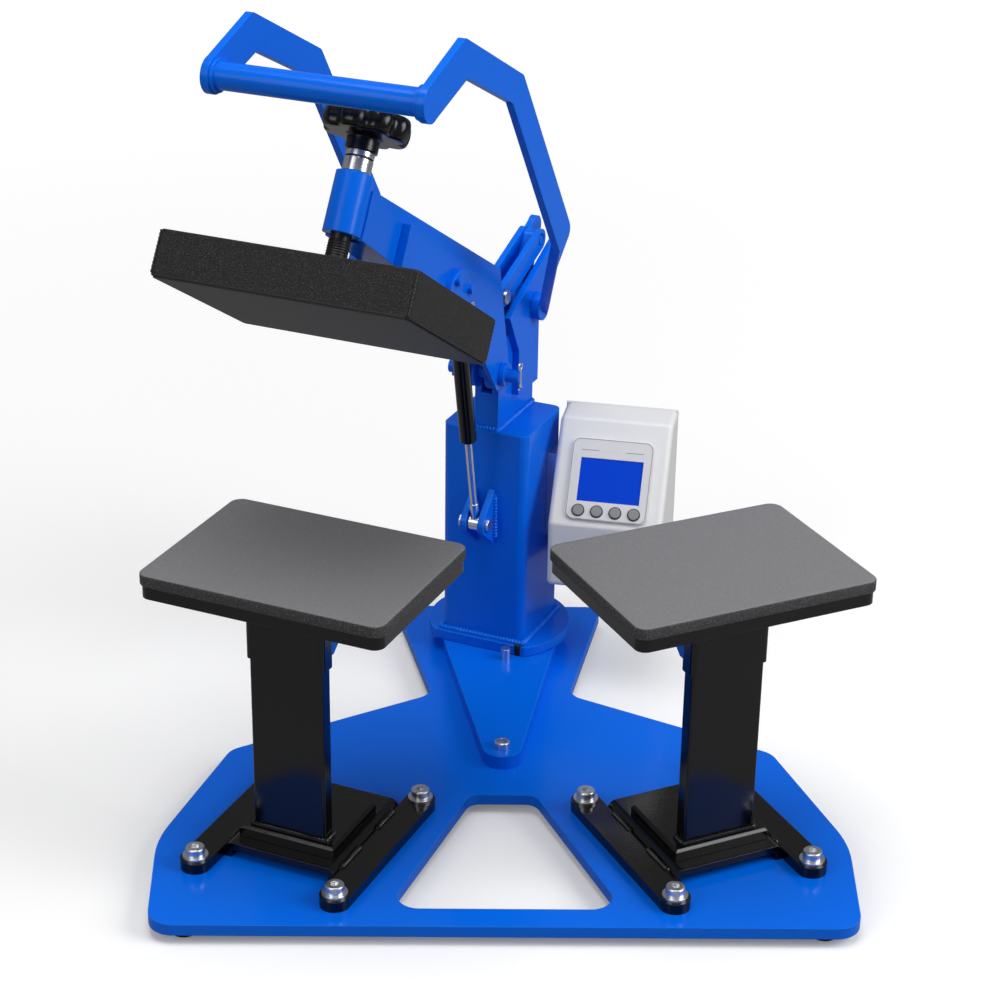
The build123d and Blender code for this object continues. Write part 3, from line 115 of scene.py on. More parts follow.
def math_node(tree: bpy.types.NodeTree, operation: str, *values: object) -> bpy.types.NodeSocket:
    """Adds a Math node whose inputs are numbers or sockets, and returns its result."""
    node = tree.nodes.new("ShaderNodeMath")
    node.operation = operation
    for place, value in enumerate(values):
        if isinstance(value, bpy.types.NodeSocket):
            link(tree, value, node.inputs[place])
        else:
            node.inputs[place].default_value = value
    return node.outputs[0]


def new_group(name: str, inputs: dict[str, float], outputs: dict[str, str]) -> tuple:
    """Starts a shader node group.

    Args:
        name: the group's name.
        inputs: its number inputs with their default values.
        outputs: its outputs with their socket kinds.

    Returns:
        The tree, its input node and its output node.
    """
    tree = bpy.data.node_groups.new(name, "ShaderNodeTree")
    for label, value in inputs.items():
        socket = tree.interface.new_socket(label, in_out="INPUT", socket_type="NodeSocketFloat")
        socket.default_value = value
    for label, kind in outputs.items():
        tree.interface.new_socket(label, in_out="OUTPUT", socket_type="NodeSocket" + kind)
    return tree, tree.nodes.new("NodeGroupInput"), tree.nodes.new("NodeGroupOutput")


def object_noise(tree: bpy.types.NodeTree, scale: object, detail: float) -> bpy.types.NodeSocket:
    """Adds noise on the piece's own Object coordinates, and returns its value."""
    place = tree.nodes.new("ShaderNodeTexCoord")
    noise = add_node(tree, "TexNoise", Detail=detail, Roughness=NOISE_ROUGHNESS)
    link(tree, place.outputs["Object"], noise.inputs["Vector"])
    if isinstance(scale, bpy.types.NodeSocket):
        link(tree, scale, noise.inputs["Scale"])
    else:
        noise.inputs["Scale"].default_value = scale
    return noise.outputs["Fac"]


def grain_group() -> bpy.types.NodeTree:
    """Fine relief: noise at a scale, put out as a height and as a mask of its bright specks."""
    tree, start, end = new_group(
        "fine_grain", {"Scale": 800.0, "Speck": 0.62}, {"Height": "Float", "Specks": "Float"}
    )
    value = object_noise(tree, start.outputs["Scale"], GRAIN_DETAIL)
    above = math_node(tree, "SUBTRACT", value, start.outputs["Speck"])
    steep = math_node(tree, "MULTIPLY", above, SPECK_STEEPNESS)
    clipped = tree.nodes.new("ShaderNodeClamp")
    link(tree, steep, clipped.inputs["Value"])
    link(tree, value, end.inputs["Height"])
    link(tree, clipped.outputs[0], end.inputs["Specks"])
    return tree


def edge_group() -> bpy.types.NodeTree:
    """Painted edge highlight: one minus the dot product of the rounded and the true normal, made a mask."""
    tree, start, end = new_group(
        "edge_wear", {"Radius": 0.0008, "Strength": 6.0}, {"Mask": "Float", "Normal": "Vector"}
    )
    bevel = tree.nodes.new("ShaderNodeBevel")
    bevel.samples = BEVEL_SAMPLES
    link(tree, start.outputs["Radius"], bevel.inputs["Radius"])
    true = tree.nodes.new("ShaderNodeNewGeometry")
    dot = tree.nodes.new("ShaderNodeVectorMath")
    dot.operation = "DOT_PRODUCT"
    link(tree, bevel.outputs["Normal"], dot.inputs[0])
    link(tree, true.outputs["True Normal"], dot.inputs[1])
    away = math_node(tree, "SUBTRACT", 1.0, dot.outputs["Value"])
    strong = math_node(tree, "MULTIPLY", away, start.outputs["Strength"])
    clipped = tree.nodes.new("ShaderNodeClamp")
    link(tree, strong, clipped.inputs["Value"])
    link(tree, clipped.outputs[0], end.inputs["Mask"])
    link(tree, bevel.outputs["Normal"], end.inputs["Normal"])
    return tree


def dust_group() -> bpy.types.NodeTree:
    """Dust: the upward part of the normal times broad noise."""
    tree, start, end = new_group("light_dust", {"Amount": 0.1}, {"Mask": "Float"})
    facing = tree.nodes.new("ShaderNodeNewGeometry")
    parts = tree.nodes.new("ShaderNodeSeparateXYZ")
    link(tree, facing.outputs["Normal"], parts.inputs[0])
    upward = math_node(tree, "MAXIMUM", parts.outputs["Z"], 0.0)
    patchy = math_node(tree, "MULTIPLY", upward, object_noise(tree, DUST_SCALE, DUST_DETAIL))
    link(tree, math_node(tree, "MULTIPLY", patchy, start.outputs["Amount"]), end.inputs["Mask"])
    return tree


GROUPS = {"grain": grain_group(), "edge": edge_group(), "dust": dust_group()}


def place_group(tree: bpy.types.NodeTree, name: str, **values: float) -> bpy.types.Node:
    """Places a shared group in a material with its own values."""
    node = tree.nodes.new("ShaderNodeGroup")
    node.node_tree = GROUPS[name]
    for label, value in values.items():
        node.inputs[label].default_value = value
    return node


def mix_colours(tree: bpy.types.NodeTree, mask: bpy.types.NodeSocket, low: object, high: object) -> object:
    """Mixes two colours, each a socket or three numbers, by a mask, and returns the result."""
    node = tree.nodes.new("ShaderNodeMix")
    node.data_type = "RGBA"
    link(tree, mask, node.inputs["Factor"])
    for label, value in (("A", low), ("B", high)):
        socket = next(s for s in node.inputs if s.name == label and s.type == "RGBA")
        if isinstance(value, bpy.types.NodeSocket):
            link(tree, value, socket)
        else:
            socket.default_value = (*value, 1.0)
    return next(s for s in node.outputs if s.type == "RGBA")


@dataclass(frozen=True)
class Finish:
    """A surface finish: a colour with specks, grain relief, softened edges with a painted highlight on them, and
    dust.
    """

    name: str
    colour: tuple[float, float, float]
    roughness: float = 0.4
    metallic: float = 0.0
    coat: float = 0.0
    grain: Grain = Grain.SATIN
    relief: float = 0.05
    relief_depth: float = 0.0002
    speck_colour: tuple[float, float, float] | None = None
    speck_level: float = 0.62
    # Colour of the painted highlight along the edges, where there is one
    edge_highlight_colour: tuple[float, float, float] | None = None
    edge_radius: float = 0.0008
    edge_strength: float = 4.0
    dust: float = 0.05
    dust_colour: tuple[float, float, float] = (0.5, 0.5, 0.5)
    emission: float = 0.0
    specular: float = 0.5

    def colour_socket(
        self, tree: bpy.types.NodeTree, grain: bpy.types.Node, edge: bpy.types.Node
    ) -> bpy.types.NodeSocket:
        """Works out the base colour: specks over the colour, then a painted highlight on the edges, then dust."""
        specks = self.speck_colour or tuple(c * SPECK_GAIN + SPECK_LIFT for c in self.colour)
        result = mix_colours(tree, grain.outputs["Specks"], self.colour, specks)
        # The edge colour is a painted highlight, mixed in along the edges by the bevel mask
        if self.edge_highlight_colour:
            result = mix_colours(tree, edge.outputs["Mask"], result, self.edge_highlight_colour)
        dust = place_group(tree, "dust", Amount=self.dust)
        return mix_colours(tree, dust.outputs["Mask"], result, self.dust_colour)

    def build(self) -> bpy.types.Material:
        """Makes the material.

        Returns:
            A node material with this finish's values.
        """
        material = bpy.data.materials.new(self.name)
        material.use_nodes = True
        tree = material.node_tree
        shader = tree.nodes["Principled BSDF"]
        grain = place_group(tree, "grain", Scale=self.grain.value, Speck=self.speck_level)
        edge = place_group(tree, "edge", Radius=self.edge_radius, Strength=self.edge_strength)
        link(tree, self.colour_socket(tree, grain, edge), shader.inputs["Base Color"])
        smoothest = self.roughness - ROUGHNESS_SPREAD / 2
        rough = math_node(
            tree, "MULTIPLY_ADD", grain.outputs["Height"], ROUGHNESS_SPREAD, smoothest
        )
        link(tree, rough, shader.inputs["Roughness"])
        shader.inputs["Metallic"].default_value = self.metallic
        shader.inputs["Coat Weight"].default_value = self.coat
        shader.inputs["Coat Roughness"].default_value = COAT_ROUGHNESS
        shader.inputs["Specular IOR Level"].default_value = self.specular
        bump = tree.nodes.new("ShaderNodeBump")
        bump.inputs["Strength"].default_value = self.relief
        bump.inputs["Distance"].default_value = self.relief_depth
        link(tree, grain.outputs["Height"], bump.inputs["Height"])
        link(tree, edge.outputs["Normal"], bump.inputs["Normal"])
        link(tree, bump.outputs["Normal"], shader.inputs["Normal"])
        if self.emission:
            shader.inputs["Emission Color"].default_value = (*self.colour, 1.0)
            shader.inputs["Emission Strength"].default_value = self.emission
        return material


@dataclass(frozen=True)
class LitTopFinish(Finish):
    """A finish whose upward faces get a paler colour as a painted highlight from above, and whose sides keep a
    darker colour as painted shade.
    """

    # Colour painted on the upward faces as the light from above
    lit_top_colour: tuple[float, float, float] = (0.1, 0.1, 0.1)

    def colour_socket(
        self, tree: bpy.types.NodeTree, grain: bpy.types.Node, edge: bpy.types.Node
    ) -> bpy.types.NodeSocket:
        """The painted lit colour where the normal points up, and the darker painted shade of the sides elsewhere.
        """
        facing = tree.nodes.new("ShaderNodeNewGeometry")
        parts = tree.nodes.new("ShaderNodeSeparateXYZ")
        link(tree, facing.outputs["Normal"], parts.inputs[0])
        upward = math_node(tree, "GREATER_THAN", parts.outputs["Z"], LIT_TOP_UPWARD)
        shaded_sides = super().colour_socket(tree, grain, edge)
        paler = tuple(c * LIT_TOP_SPECK_GAIN for c in self.lit_top_colour)
        # Painted highlight on the upward faces, over the painted shade of the sides
        lit_top = mix_colours(tree, grain.outputs["Specks"], self.lit_top_colour, paler)
        return mix_colours(tree, upward, shaded_sides, lit_top)


# Finishes

# The edge colours of these finishes are painted highlights along the edges
BLUE = Finish(
    "blue_powder_coat", (0.0, 0.14, 0.80), roughness=0.24, coat=0.08, grain=Grain.ORANGE_PEEL,
    relief=0.10, relief_depth=0.0006, speck_colour=(0.0, 0.15, 0.83), speck_level=0.66,
    edge_highlight_colour=(0.01, 0.26, 0.98), edge_radius=0.0013, edge_strength=2.6, dust=0.0, specular=0.14,
)
BLACK = Finish(
    "gloss_black_enamel", (0.0015, 0.0015, 0.0018), roughness=0.13, coat=0.15, grain=Grain.ORANGE_PEEL,
    relief=0.12, relief_depth=0.0006, edge_highlight_colour=(0.02, 0.02, 0.022), edge_radius=0.001, dust=0.0,
    specular=0.35,
)
SAND_BLACK = Finish(
    "sandy_black_coat", (0.006, 0.006, 0.0065), roughness=0.5, grain=Grain.SAND, relief=1.0,
    relief_depth=0.0010, speck_colour=(0.10, 0.10, 0.102), speck_level=0.58, edge_radius=0.0008, dust=0.0,
    specular=0.35,
)
PLATEN = Finish(
    "dark_platen_coat", (0.014, 0.0135, 0.0135), roughness=0.45, grain=Grain.MOULDED, relief=0.1,
    edge_highlight_colour=(0.05, 0.05, 0.05), edge_radius=0.0006, dust=0.0, specular=0.3,
)
# The foam's top colour is a painted highlight from above, and its darker colour is painted shade on the sides
FOAM = LitTopFinish(
    "speckled_foam", (0.05, 0.05, 0.052), roughness=0.85, grain=Grain.SAND, relief=0.7,
    relief_depth=0.0006, speck_colour=(0.17, 0.17, 0.175), speck_level=0.56, dust=0.04,
    dust_colour=(0.3, 0.3, 0.3), specular=0.2, lit_top_colour=(0.185, 0.185, 0.192),
)
RUBBER = Finish(
    "black_rubber", (0.008, 0.008, 0.008), roughness=0.75, grain=Grain.SAND, relief=0.2, specular=0.3
)
CHROME = Finish(
    "bright_plating", (0.80, 0.80, 0.81), roughness=0.2, metallic=1.0, grain=Grain.SATIN, relief=0.0,
    edge_radius=0.0005, dust=0.0,
)
ZINC = Finish(
    "bright_zinc", (0.72, 0.73, 0.75), roughness=0.3, metallic=1.0, grain=Grain.SATIN, relief=0.08,
    edge_radius=0.0006, dust=0.02,
)
STEEL_DARK = Finish(
    "black_oxide", (0.02, 0.02, 0.022), roughness=0.35, metallic=0.7, grain=Grain.SATIN, relief=0.1,
)
ALUMINIUM = Finish(
    "satin_aluminium", (0.55, 0.55, 0.56), roughness=0.33, metallic=1.0, grain=Grain.SATIN, relief=0.1,
)
BRASS = Finish("bearing_brass", (0.42, 0.3, 0.11), roughness=0.3, metallic=1.0, relief=0.05)
SEAM = Finish("worn_seam", (0.035, 0.034, 0.034), roughness=0.3, metallic=0.4, relief=0.2, dust=0.0)
KNOB = Finish(
    "black_knob", (0.0015, 0.0015, 0.0018), roughness=0.22, coat=0.1, grain=Grain.MOULDED, relief=0.1,
    edge_radius=0.0008, dust=0.0, specular=0.4,
)
CASE = Finish(
    "pale_moulding", (0.76, 0.76, 0.76), roughness=0.45, grain=Grain.MOULDED, relief=0.16,
    relief_depth=0.0003, speck_colour=(0.78, 0.78, 0.78), edge_radius=0.0012, dust=0.01, specular=0.3,
)
PANEL = Finish(
    "panel_film", (0.68, 0.68, 0.69), roughness=0.35, grain=Grain.MOULDED, relief=0.08,
    edge_radius=0.0006, dust=0.0, specular=0.3,
)
PANEL_INK = Finish("panel_ink", (0.36, 0.36, 0.37), roughness=0.4, relief=0.02, dust=0.0)
RING_INK = Finish("ring_ink", (0.05, 0.05, 0.05), roughness=0.5, relief=0.02, dust=0.0)
BUTTON = Finish(
    "button_rubber", (0.24, 0.24, 0.25), roughness=0.55, grain=Grain.MOULDED, relief=0.1, dust=0.0,
)
DISPLAY = Finish(
    "lit_display", (0.0, 0.034, 0.40), roughness=0.3, relief=0.0, dust=0.0, emission=0.5, specular=0.1,
)
BOARD = Finish("coated_board", (0.01, 0.12, 0.04), roughness=0.3, coat=0.3, relief=0.05)
BLANKET = Finish("ceramic_blanket", (0.75, 0.74, 0.7), roughness=0.95, grain=Grain.SAND, relief=0.6)

SLOT_FINISHES = {
    "blue_coat": BLUE,
    "black_gloss_coat": BLACK,
    "black_grained_coat": SAND_BLACK,
    "soft_foam": FOAM,
    "dark_platen_coat": PLATEN,
    "black_rubber": RUBBER,
    "bright_plate": CHROME,
    "zinc_plate": ZINC,
    "dark_steel": STEEL_DARK,
    "bare_aluminium": ALUMINIUM,
    "bearing_brass": BRASS,
    "black_knob_plastic": KNOB,
    "pale_case_plastic": CASE,
    "panel_plastic": PANEL,
    "button_plastic": BUTTON,
    "display_glass": DISPLAY,
    "board_laminate": BOARD,
    "white_blanket": BLANKET,
}
# Nodes whose look differs from their slot's
NODE_FINISHES = {"pressure_screw": STEEL_DARK}


class FinishShelf:
    """Keeps one material for each finish."""

    def __init__(self) -> None:
        """Starts with no materials."""
        self.made: dict[str, bpy.types.Material] = {}

    def get(self, finish: Finish) -> bpy.types.Material:
        """The finish's material, made the first time that it is asked for."""
        if finish.name not in self.made:
            self.made[finish.name] = finish.build()
        return self.made[finish.name]


# Mesh helpers

def ring_faces(rings: int, count: int, offset: int = 0) -> np.ndarray:
    """The quads between successive closed rings of vertices.

    Args:
        rings: how many rings there are.
        count: vertices in each ring.
        offset: index of the first ring's first vertex.

    Returns:
        An array of quads, four vertex indices each.
    """
    ring, step = np.meshgrid(np.arange(rings - 1), np.arange(count), indexing="ij")
    low = offset + ring * count + step
    low_next = offset + ring * count + (step + 1) % count
    return np.stack([low, low_next, low_next + count, low + count], axis=-1).reshape(-1, 4)


def make_object(name: str, points: np.ndarray, faces: list, smooth: bool = True) -> bpy.types.Object:
    """Puts points and faces into a new mesh object at the origin.

    Args:
        name: the piece's name.
        points: vertices in metres, in the row frame.
        faces: lists of vertex indices.
        smooth: whether its faces are shaded smooth.

    Returns:
        The object, linked to the scene.
    """
    mesh = bpy.data.meshes.new(name)
    mesh.from_pydata(points.reshape(-1, 3).tolist(), [], faces)
    mesh.polygons.foreach_set("use_smooth", [smooth] * len(mesh.polygons))
    mesh.validate()
    mesh.update()
    if smooth:
        mesh.set_sharp_from_angle(angle=SHARP_ANGLE)
    piece = bpy.data.objects.new(name, mesh)
    bpy.context.scene.collection.objects.link(piece)
    return piece


def closed_stack(name: str, rings: np.ndarray) -> bpy.types.Object:
    """A closed surface through stacked rings, capped by a fan at each end's middle.

    Args:
        name: the piece's name.
        rings: an array of ring by vertex by three, turning the right way round going up.

    Returns:
        The object.
    """
    count = rings.shape[1]
    total = rings.shape[0] * count
    points = np.concatenate([rings.reshape(-1, 3), rings[:1].mean(axis=1), rings[-1:].mean(axis=1)])
    faces = ring_faces(rings.shape[0], count).tolist()
    step = np.arange(count)
    after = (step + 1) % count
    last = total - count
    faces += np.stack([after, step, np.full(count, total)], axis=-1).tolist()
    faces += np.stack([last + step, last + after, np.full(count, total + 1)], axis=-1).tolist()
    return make_object(name, points, faces)


def rounded_rectangle(half_x: float, half_y: float, radius: float, count: int = 96) -> np.ndarray:
    """A rounded rectangle's points, anticlockwise: four quarter arcs about inset corner centres.

    Args:
        half_x: half the width.
        half_y: half the depth.
        radius: the corners' radius.
        count: how many points, shared out among the four arcs.

    Returns:
        An array of points in the plane.
    """
    angle = np.linspace(0.0, 2 * math.pi, count, endpoint=False) + math.pi / count
    sign_x = np.sign(np.cos(angle))
    sign_y = np.sign(np.sin(angle))
    x = sign_x * (half_x - radius) + radius * np.cos(angle)
    y = sign_y * (half_y - radius) + radius * np.sin(angle)
    return np.stack([x, y], axis=-1)


def tube_along(path: np.ndarray, radii: np.ndarray, sides: int = 10) -> np.ndarray:
    """Rings of a tube along a path: the path's point plus the radius times a turning unit vector.

    The unit vector turns in the plane square to the path, spanned by one side vector carried
    along the path and its cross product with the tangent.

    Args:
        path: points along the middle line.
        radii: the radius at each point.
        sides: vertices round the tube.

    Returns:
        An array of ring by vertex by three.
    """
    tangent = np.gradient(path, axis=0)
    tangent /= np.linalg.norm(tangent, axis=1, keepdims=True)
    helper = np.where(np.abs(tangent[:, 2:3]) < 0.9, [[0.0, 0.0, 1.0]], [[1.0, 0.0, 0.0]])
    side = np.cross(helper, tangent)
    side /= np.linalg.norm(side, axis=1, keepdims=True)
    lift = np.cross(tangent, side)
    angle = np.linspace(0, 2 * math.pi, sides, endpoint=False)[None, :, None]
    spoke = side[:, None, :] * np.cos(angle) + lift[:, None, :] * np.sin(angle)
    return path[:, None, :] + radii[:, None, None] * spoke


def corner(name: str, which: int) -> np.ndarray:
    """A CAD node's lowest (0) or highest (1) corner as an array."""
    return np.array(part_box(name)[which])


def middle(name: str) -> np.ndarray:
    """The middle of a CAD node's box."""
    return (corner(name, 0) + corner(name, 1)) / 2


def joint(name: str) -> dict:
    """A joint of the frame by its name."""
    return next(j for j in frame["joints"] if j["name"] == name)


def node_points(name: str) -> np.ndarray:
    """A CAD node's vertices, one row of three for each."""
    mesh = frame["nodes"][name].data
    points = np.zeros(len(mesh.vertices) * 3)
    mesh.vertices.foreach_get("co", points)
    return points.reshape(-1, 3)


@dataclass
class Place:
    """A place in the row frame with its own side, ahead and up directions."""

    origin: np.ndarray
    side: np.ndarray
    ahead: np.ndarray
    up: np.ndarray

    def at(self, local: np.ndarray) -> np.ndarray:
        """Turns local side, ahead and up coordinates into row coordinates."""
        across = local[..., :1] * self.side
        forward = local[..., 1:2] * self.ahead
        return self.origin + across + forward + local[..., 2:] * self.up

    def span(self, node: str) -> tuple[float, float]:
        """How far along the up direction a CAD node starts and ends."""
        along = (node_points(node) - self.origin) @ self.up
        return float(along.min()), float(along.max())


def head_place() -> Place:
    """The swing axis at the base plate's top; ahead points from it to the left table."""
    axis = middle("swivel_spindle")
    top = corner("base_plate", 1)[2]
    side = np.array([math.cos(SWING_ANGLE), -math.sin(SWING_ANGLE), 0.0])
    ahead = np.array([-math.sin(SWING_ANGLE), -math.cos(SWING_ANGLE), 0.0])
    return Place(np.array([axis[0], axis[1], top]), side, ahead, UP)


def screw_place() -> Place:
    """The pressure screw's foot, with up along the screw, as it stands open."""
    spin = joint("knob_turn")
    up = np.array(spin["axis"])
    side = head_place().side
    return Place(np.array(spin["pos_m"]), side, np.cross(up, side), up)


def table_place(which: Layout) -> Place:
    """The middle of a table at the base plate's top, with side along its long edge."""
    pad = middle(which.name.lower() + "_table_pad")
    turn = SWING_ANGLE * which.value
    side = np.array([math.cos(turn), math.sin(turn), 0.0])
    ahead = np.array([math.sin(turn), -math.cos(turn), 0.0])
    top = corner("base_plate", 1)[2]
    return Place(np.array([pad[0], pad[1], top]), side, ahead, UP)


# Pieces

@dataclass
class Piece:
    """A sub-assembly that dresses what it builds."""

    shelf: FinishShelf

    def finish(self, piece: bpy.types.Object, finish: Finish, slot: str, body: str) -> bpy.types.Object:
        """Gives a piece its material, and lets it ride on its body.

        Args:
            piece: the finished mesh object.
            finish: its finish.
            slot: the record's material slot; not used.
            body: the CAD body that carries it.

        Returns:
            The same object.
        """
        piece.data.materials.append(self.shelf.get(finish))
        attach(piece, body)
        LOG.info("%s rides on %s", piece.name, body)
        return piece


@dataclass
class FoamPads(Piece):
    """The two foam pads on the tables."""

    half_length: float = 101.6 * MM
    half_depth: float = 76.2 * MM
    corner_radius: float = 10.0 * MM
    corner_share: float = 0.5
    edge_round: float = 1.4 * MM
    round_steps: int = 6
    crown: float = 0.25 * MM
    rings_across: int = 16
    innermost: float = 0.02

    def outline(self, inset: float, height: float) -> np.ndarray:
        """The pad's outline, drawn in by an inset, at a height."""
        points = rounded_rectangle(
            self.half_length - inset,
            self.half_depth - inset,
            self.corner_radius - inset * self.corner_share,
        )
        return np.column_stack([points, np.full(len(points), height)])

    def rings(self, place: Place, low: float, high: float) -> np.ndarray:
        """The pad's rings: the outline shrinks over the rounded edges and then to the middle.

        The top rises by the crown times one minus the square of the distance from the middle.

        Args:
            place: the table's place.
            low: height of the pad's underside.
            high: height of its top at the edge.

        Returns:
            An array of ring by vertex by three.
        """
        quarter = np.linspace(0, math.pi / 2, self.round_steps)
        insets = self.edge_round * (1 - np.sin(quarter))
        heights = low + self.edge_round * (1 - np.cos(quarter))
        rows = [self.outline(inset, height) for inset, height in zip(insets, heights)]
        heights_down = (low + high - heights)[::-1]
        rows += [self.outline(inset, height) for inset, height in zip(insets[::-1], heights_down)]
        edge = rows[-1]
        for share in np.linspace(1, self.innermost, self.rings_across)[1:]:
            ring = edge * [share, share, 1.0]
            ring[:, 2] = high + self.crown * (1 - share * share)
            rows.append(ring)
        local = np.array(rows)
        # Side, ahead and up form a left-handed set, so mirroring keeps the faces outward
        local[..., 1] *= -1
        return place.at(local)

    def build(self) -> None:
        """Builds both pads in place of their CAD solids."""
        for which in Layout:
            node = which.name.lower() + "_table_pad"
            place = table_place(which)
            low = corner(node, 0)[2] - place.origin[2]
            high = corner(node, 1)[2] - place.origin[2] - self.crown
            pad = closed_stack(node.replace("table_pad", "foam_pad"), self.rings(place, low, high))
            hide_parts(node)
            self.finish(pad, FOAM, "soft_foam", "base")


@dataclass
class WeldBeads(Piece):
    """The rippled weld beads where plates and tubes are joined."""

    radius: float = 2.7 * MM
    ripple: float = 0.17
    ripple_pitch: float = 3.0 * MM
    wander: float = 0.12
    wander_rates: tuple[float, float] = (190.0, 71.0)
    end_share: float = 0.35
    step: float = 0.6 * MM
    foot_lift: float = 0.6 * MM
    column_half: float = 40.5 * MM
    riser_lift: float = 0.5 * MM
    riser_half: float = 11.3 * MM
    riser_ahead: tuple[float, float] = (-40.0 * MM, 36.3 * MM)
    ear_heights: tuple[float, ...] = (120 * MM, 140 * MM, 164 * MM)
    post_half: tuple[float, float] = (31.3 * MM, 7.0 * MM)
    post_ahead: float = 27.0 * MM
    bar_side: float = 48.6 * MM
    bar_height: float = 8.6 * MM
    bar_runs: tuple = (("back", -50.0 * MM, -18.0 * MM), ("front", 8.0 * MM, 44.0 * MM))

    def bead(self, name: str, points: np.ndarray, on_base: bool, closed: bool) -> None:
        """One bead along straight runs; its radius is a mean times one plus a ripple's sine.

        Args:
            name: the piece's name.
            points: the runs' end points in the row frame.
            on_base: whether it is a table's black bead on the base, not a blue one on the column.
            closed: whether the last point joins the first.
        """
        ends = np.vstack([points, points[:1]]) if closed else points
        lengths = np.linalg.norm(np.diff(ends, axis=0), axis=1)
        reach = np.concatenate([[0.0], np.cumsum(lengths)])
        along = np.arange(0.0, reach[-1], self.step)
        path = np.column_stack([np.interp(along, reach, ends[:, k]) for k in range(3)])
        to_end = np.minimum(along, reach[-1] - along)
        taper = np.minimum(1.0, to_end / (2 * self.radius) + self.end_share)
        wave = 1 + self.ripple * np.sin(2 * math.pi * along / self.ripple_pitch)
        quick, slow = self.wander_rates
        wander = 1 + self.wander * np.sin(along * quick) * np.sin(along * slow + 1.0)
        bead = closed_stack(name, tube_along(path, self.radius * taper * wave * wander))
        if on_base:
            self.finish(bead, BLACK, "black_gloss_coat", "base")
        else:
            self.finish(bead, BLUE, "blue_coat", "column")

    def box(self, place: Place, half: float, near: float, far: float, height: float) -> np.ndarray:
        """The corners of a level rectangle about the place's side axis, in the row frame."""
        corners = [[-half, near, height], [half, near, height], [half, far, height], [-half, far, height]]
        return place.at(np.array(corners))

    def column(self, head: Place) -> None:
        """Beads round the column's foot and the riser's foot, and up the gas spring's two ears."""
        foot = corner("column_tube", 0)[2] - head.origin[2] + self.foot_lift
        half = self.column_half
        self.bead("weld_column_foot", self.box(head, half, -half, half, foot), False, True)
        top = corner("column_tube", 1)[2] - head.origin[2] + self.riser_lift
        near, far = self.riser_ahead
        riser = self.box(head, self.riser_half, near, far, top)
        self.bead("weld_riser_foot", riser, False, True)
        for side, label in ((-1, "left"), (1, "right")):
            ear = [[side * self.riser_half, self.column_half, height] for height in self.ear_heights]
            self.bead(f"weld_ear_{label}", head.at(np.array(ear)), False, False)

    def tables(self) -> None:
        """Beads round each post's foot and along its foot bars."""
        half, half_ahead = self.post_half
        for which in Layout:
            place = table_place(which)
            name = which.name.lower()
            foot = corner("posts", 0)[2] - place.origin[2] + self.foot_lift
            near, far = self.post_ahead - half_ahead, self.post_ahead + half_ahead
            self.bead(f"weld_post_{name}", self.box(place, half, near, far, foot), True, True)
            for side in (-1, 1):
                edge = "outer" if side == which.value else "inner"
                for end, low, high in self.bar_runs:
                    across = side * self.bar_side
                    run = np.array([[across, low, self.bar_height], [across, high, self.bar_height]])
                    self.bead(f"weld_bar_{name}_{edge}_{end}", place.at(run), True, False)

    def build(self) -> None:
        """Builds every bead."""
        self.column(head_place())
        self.tables()


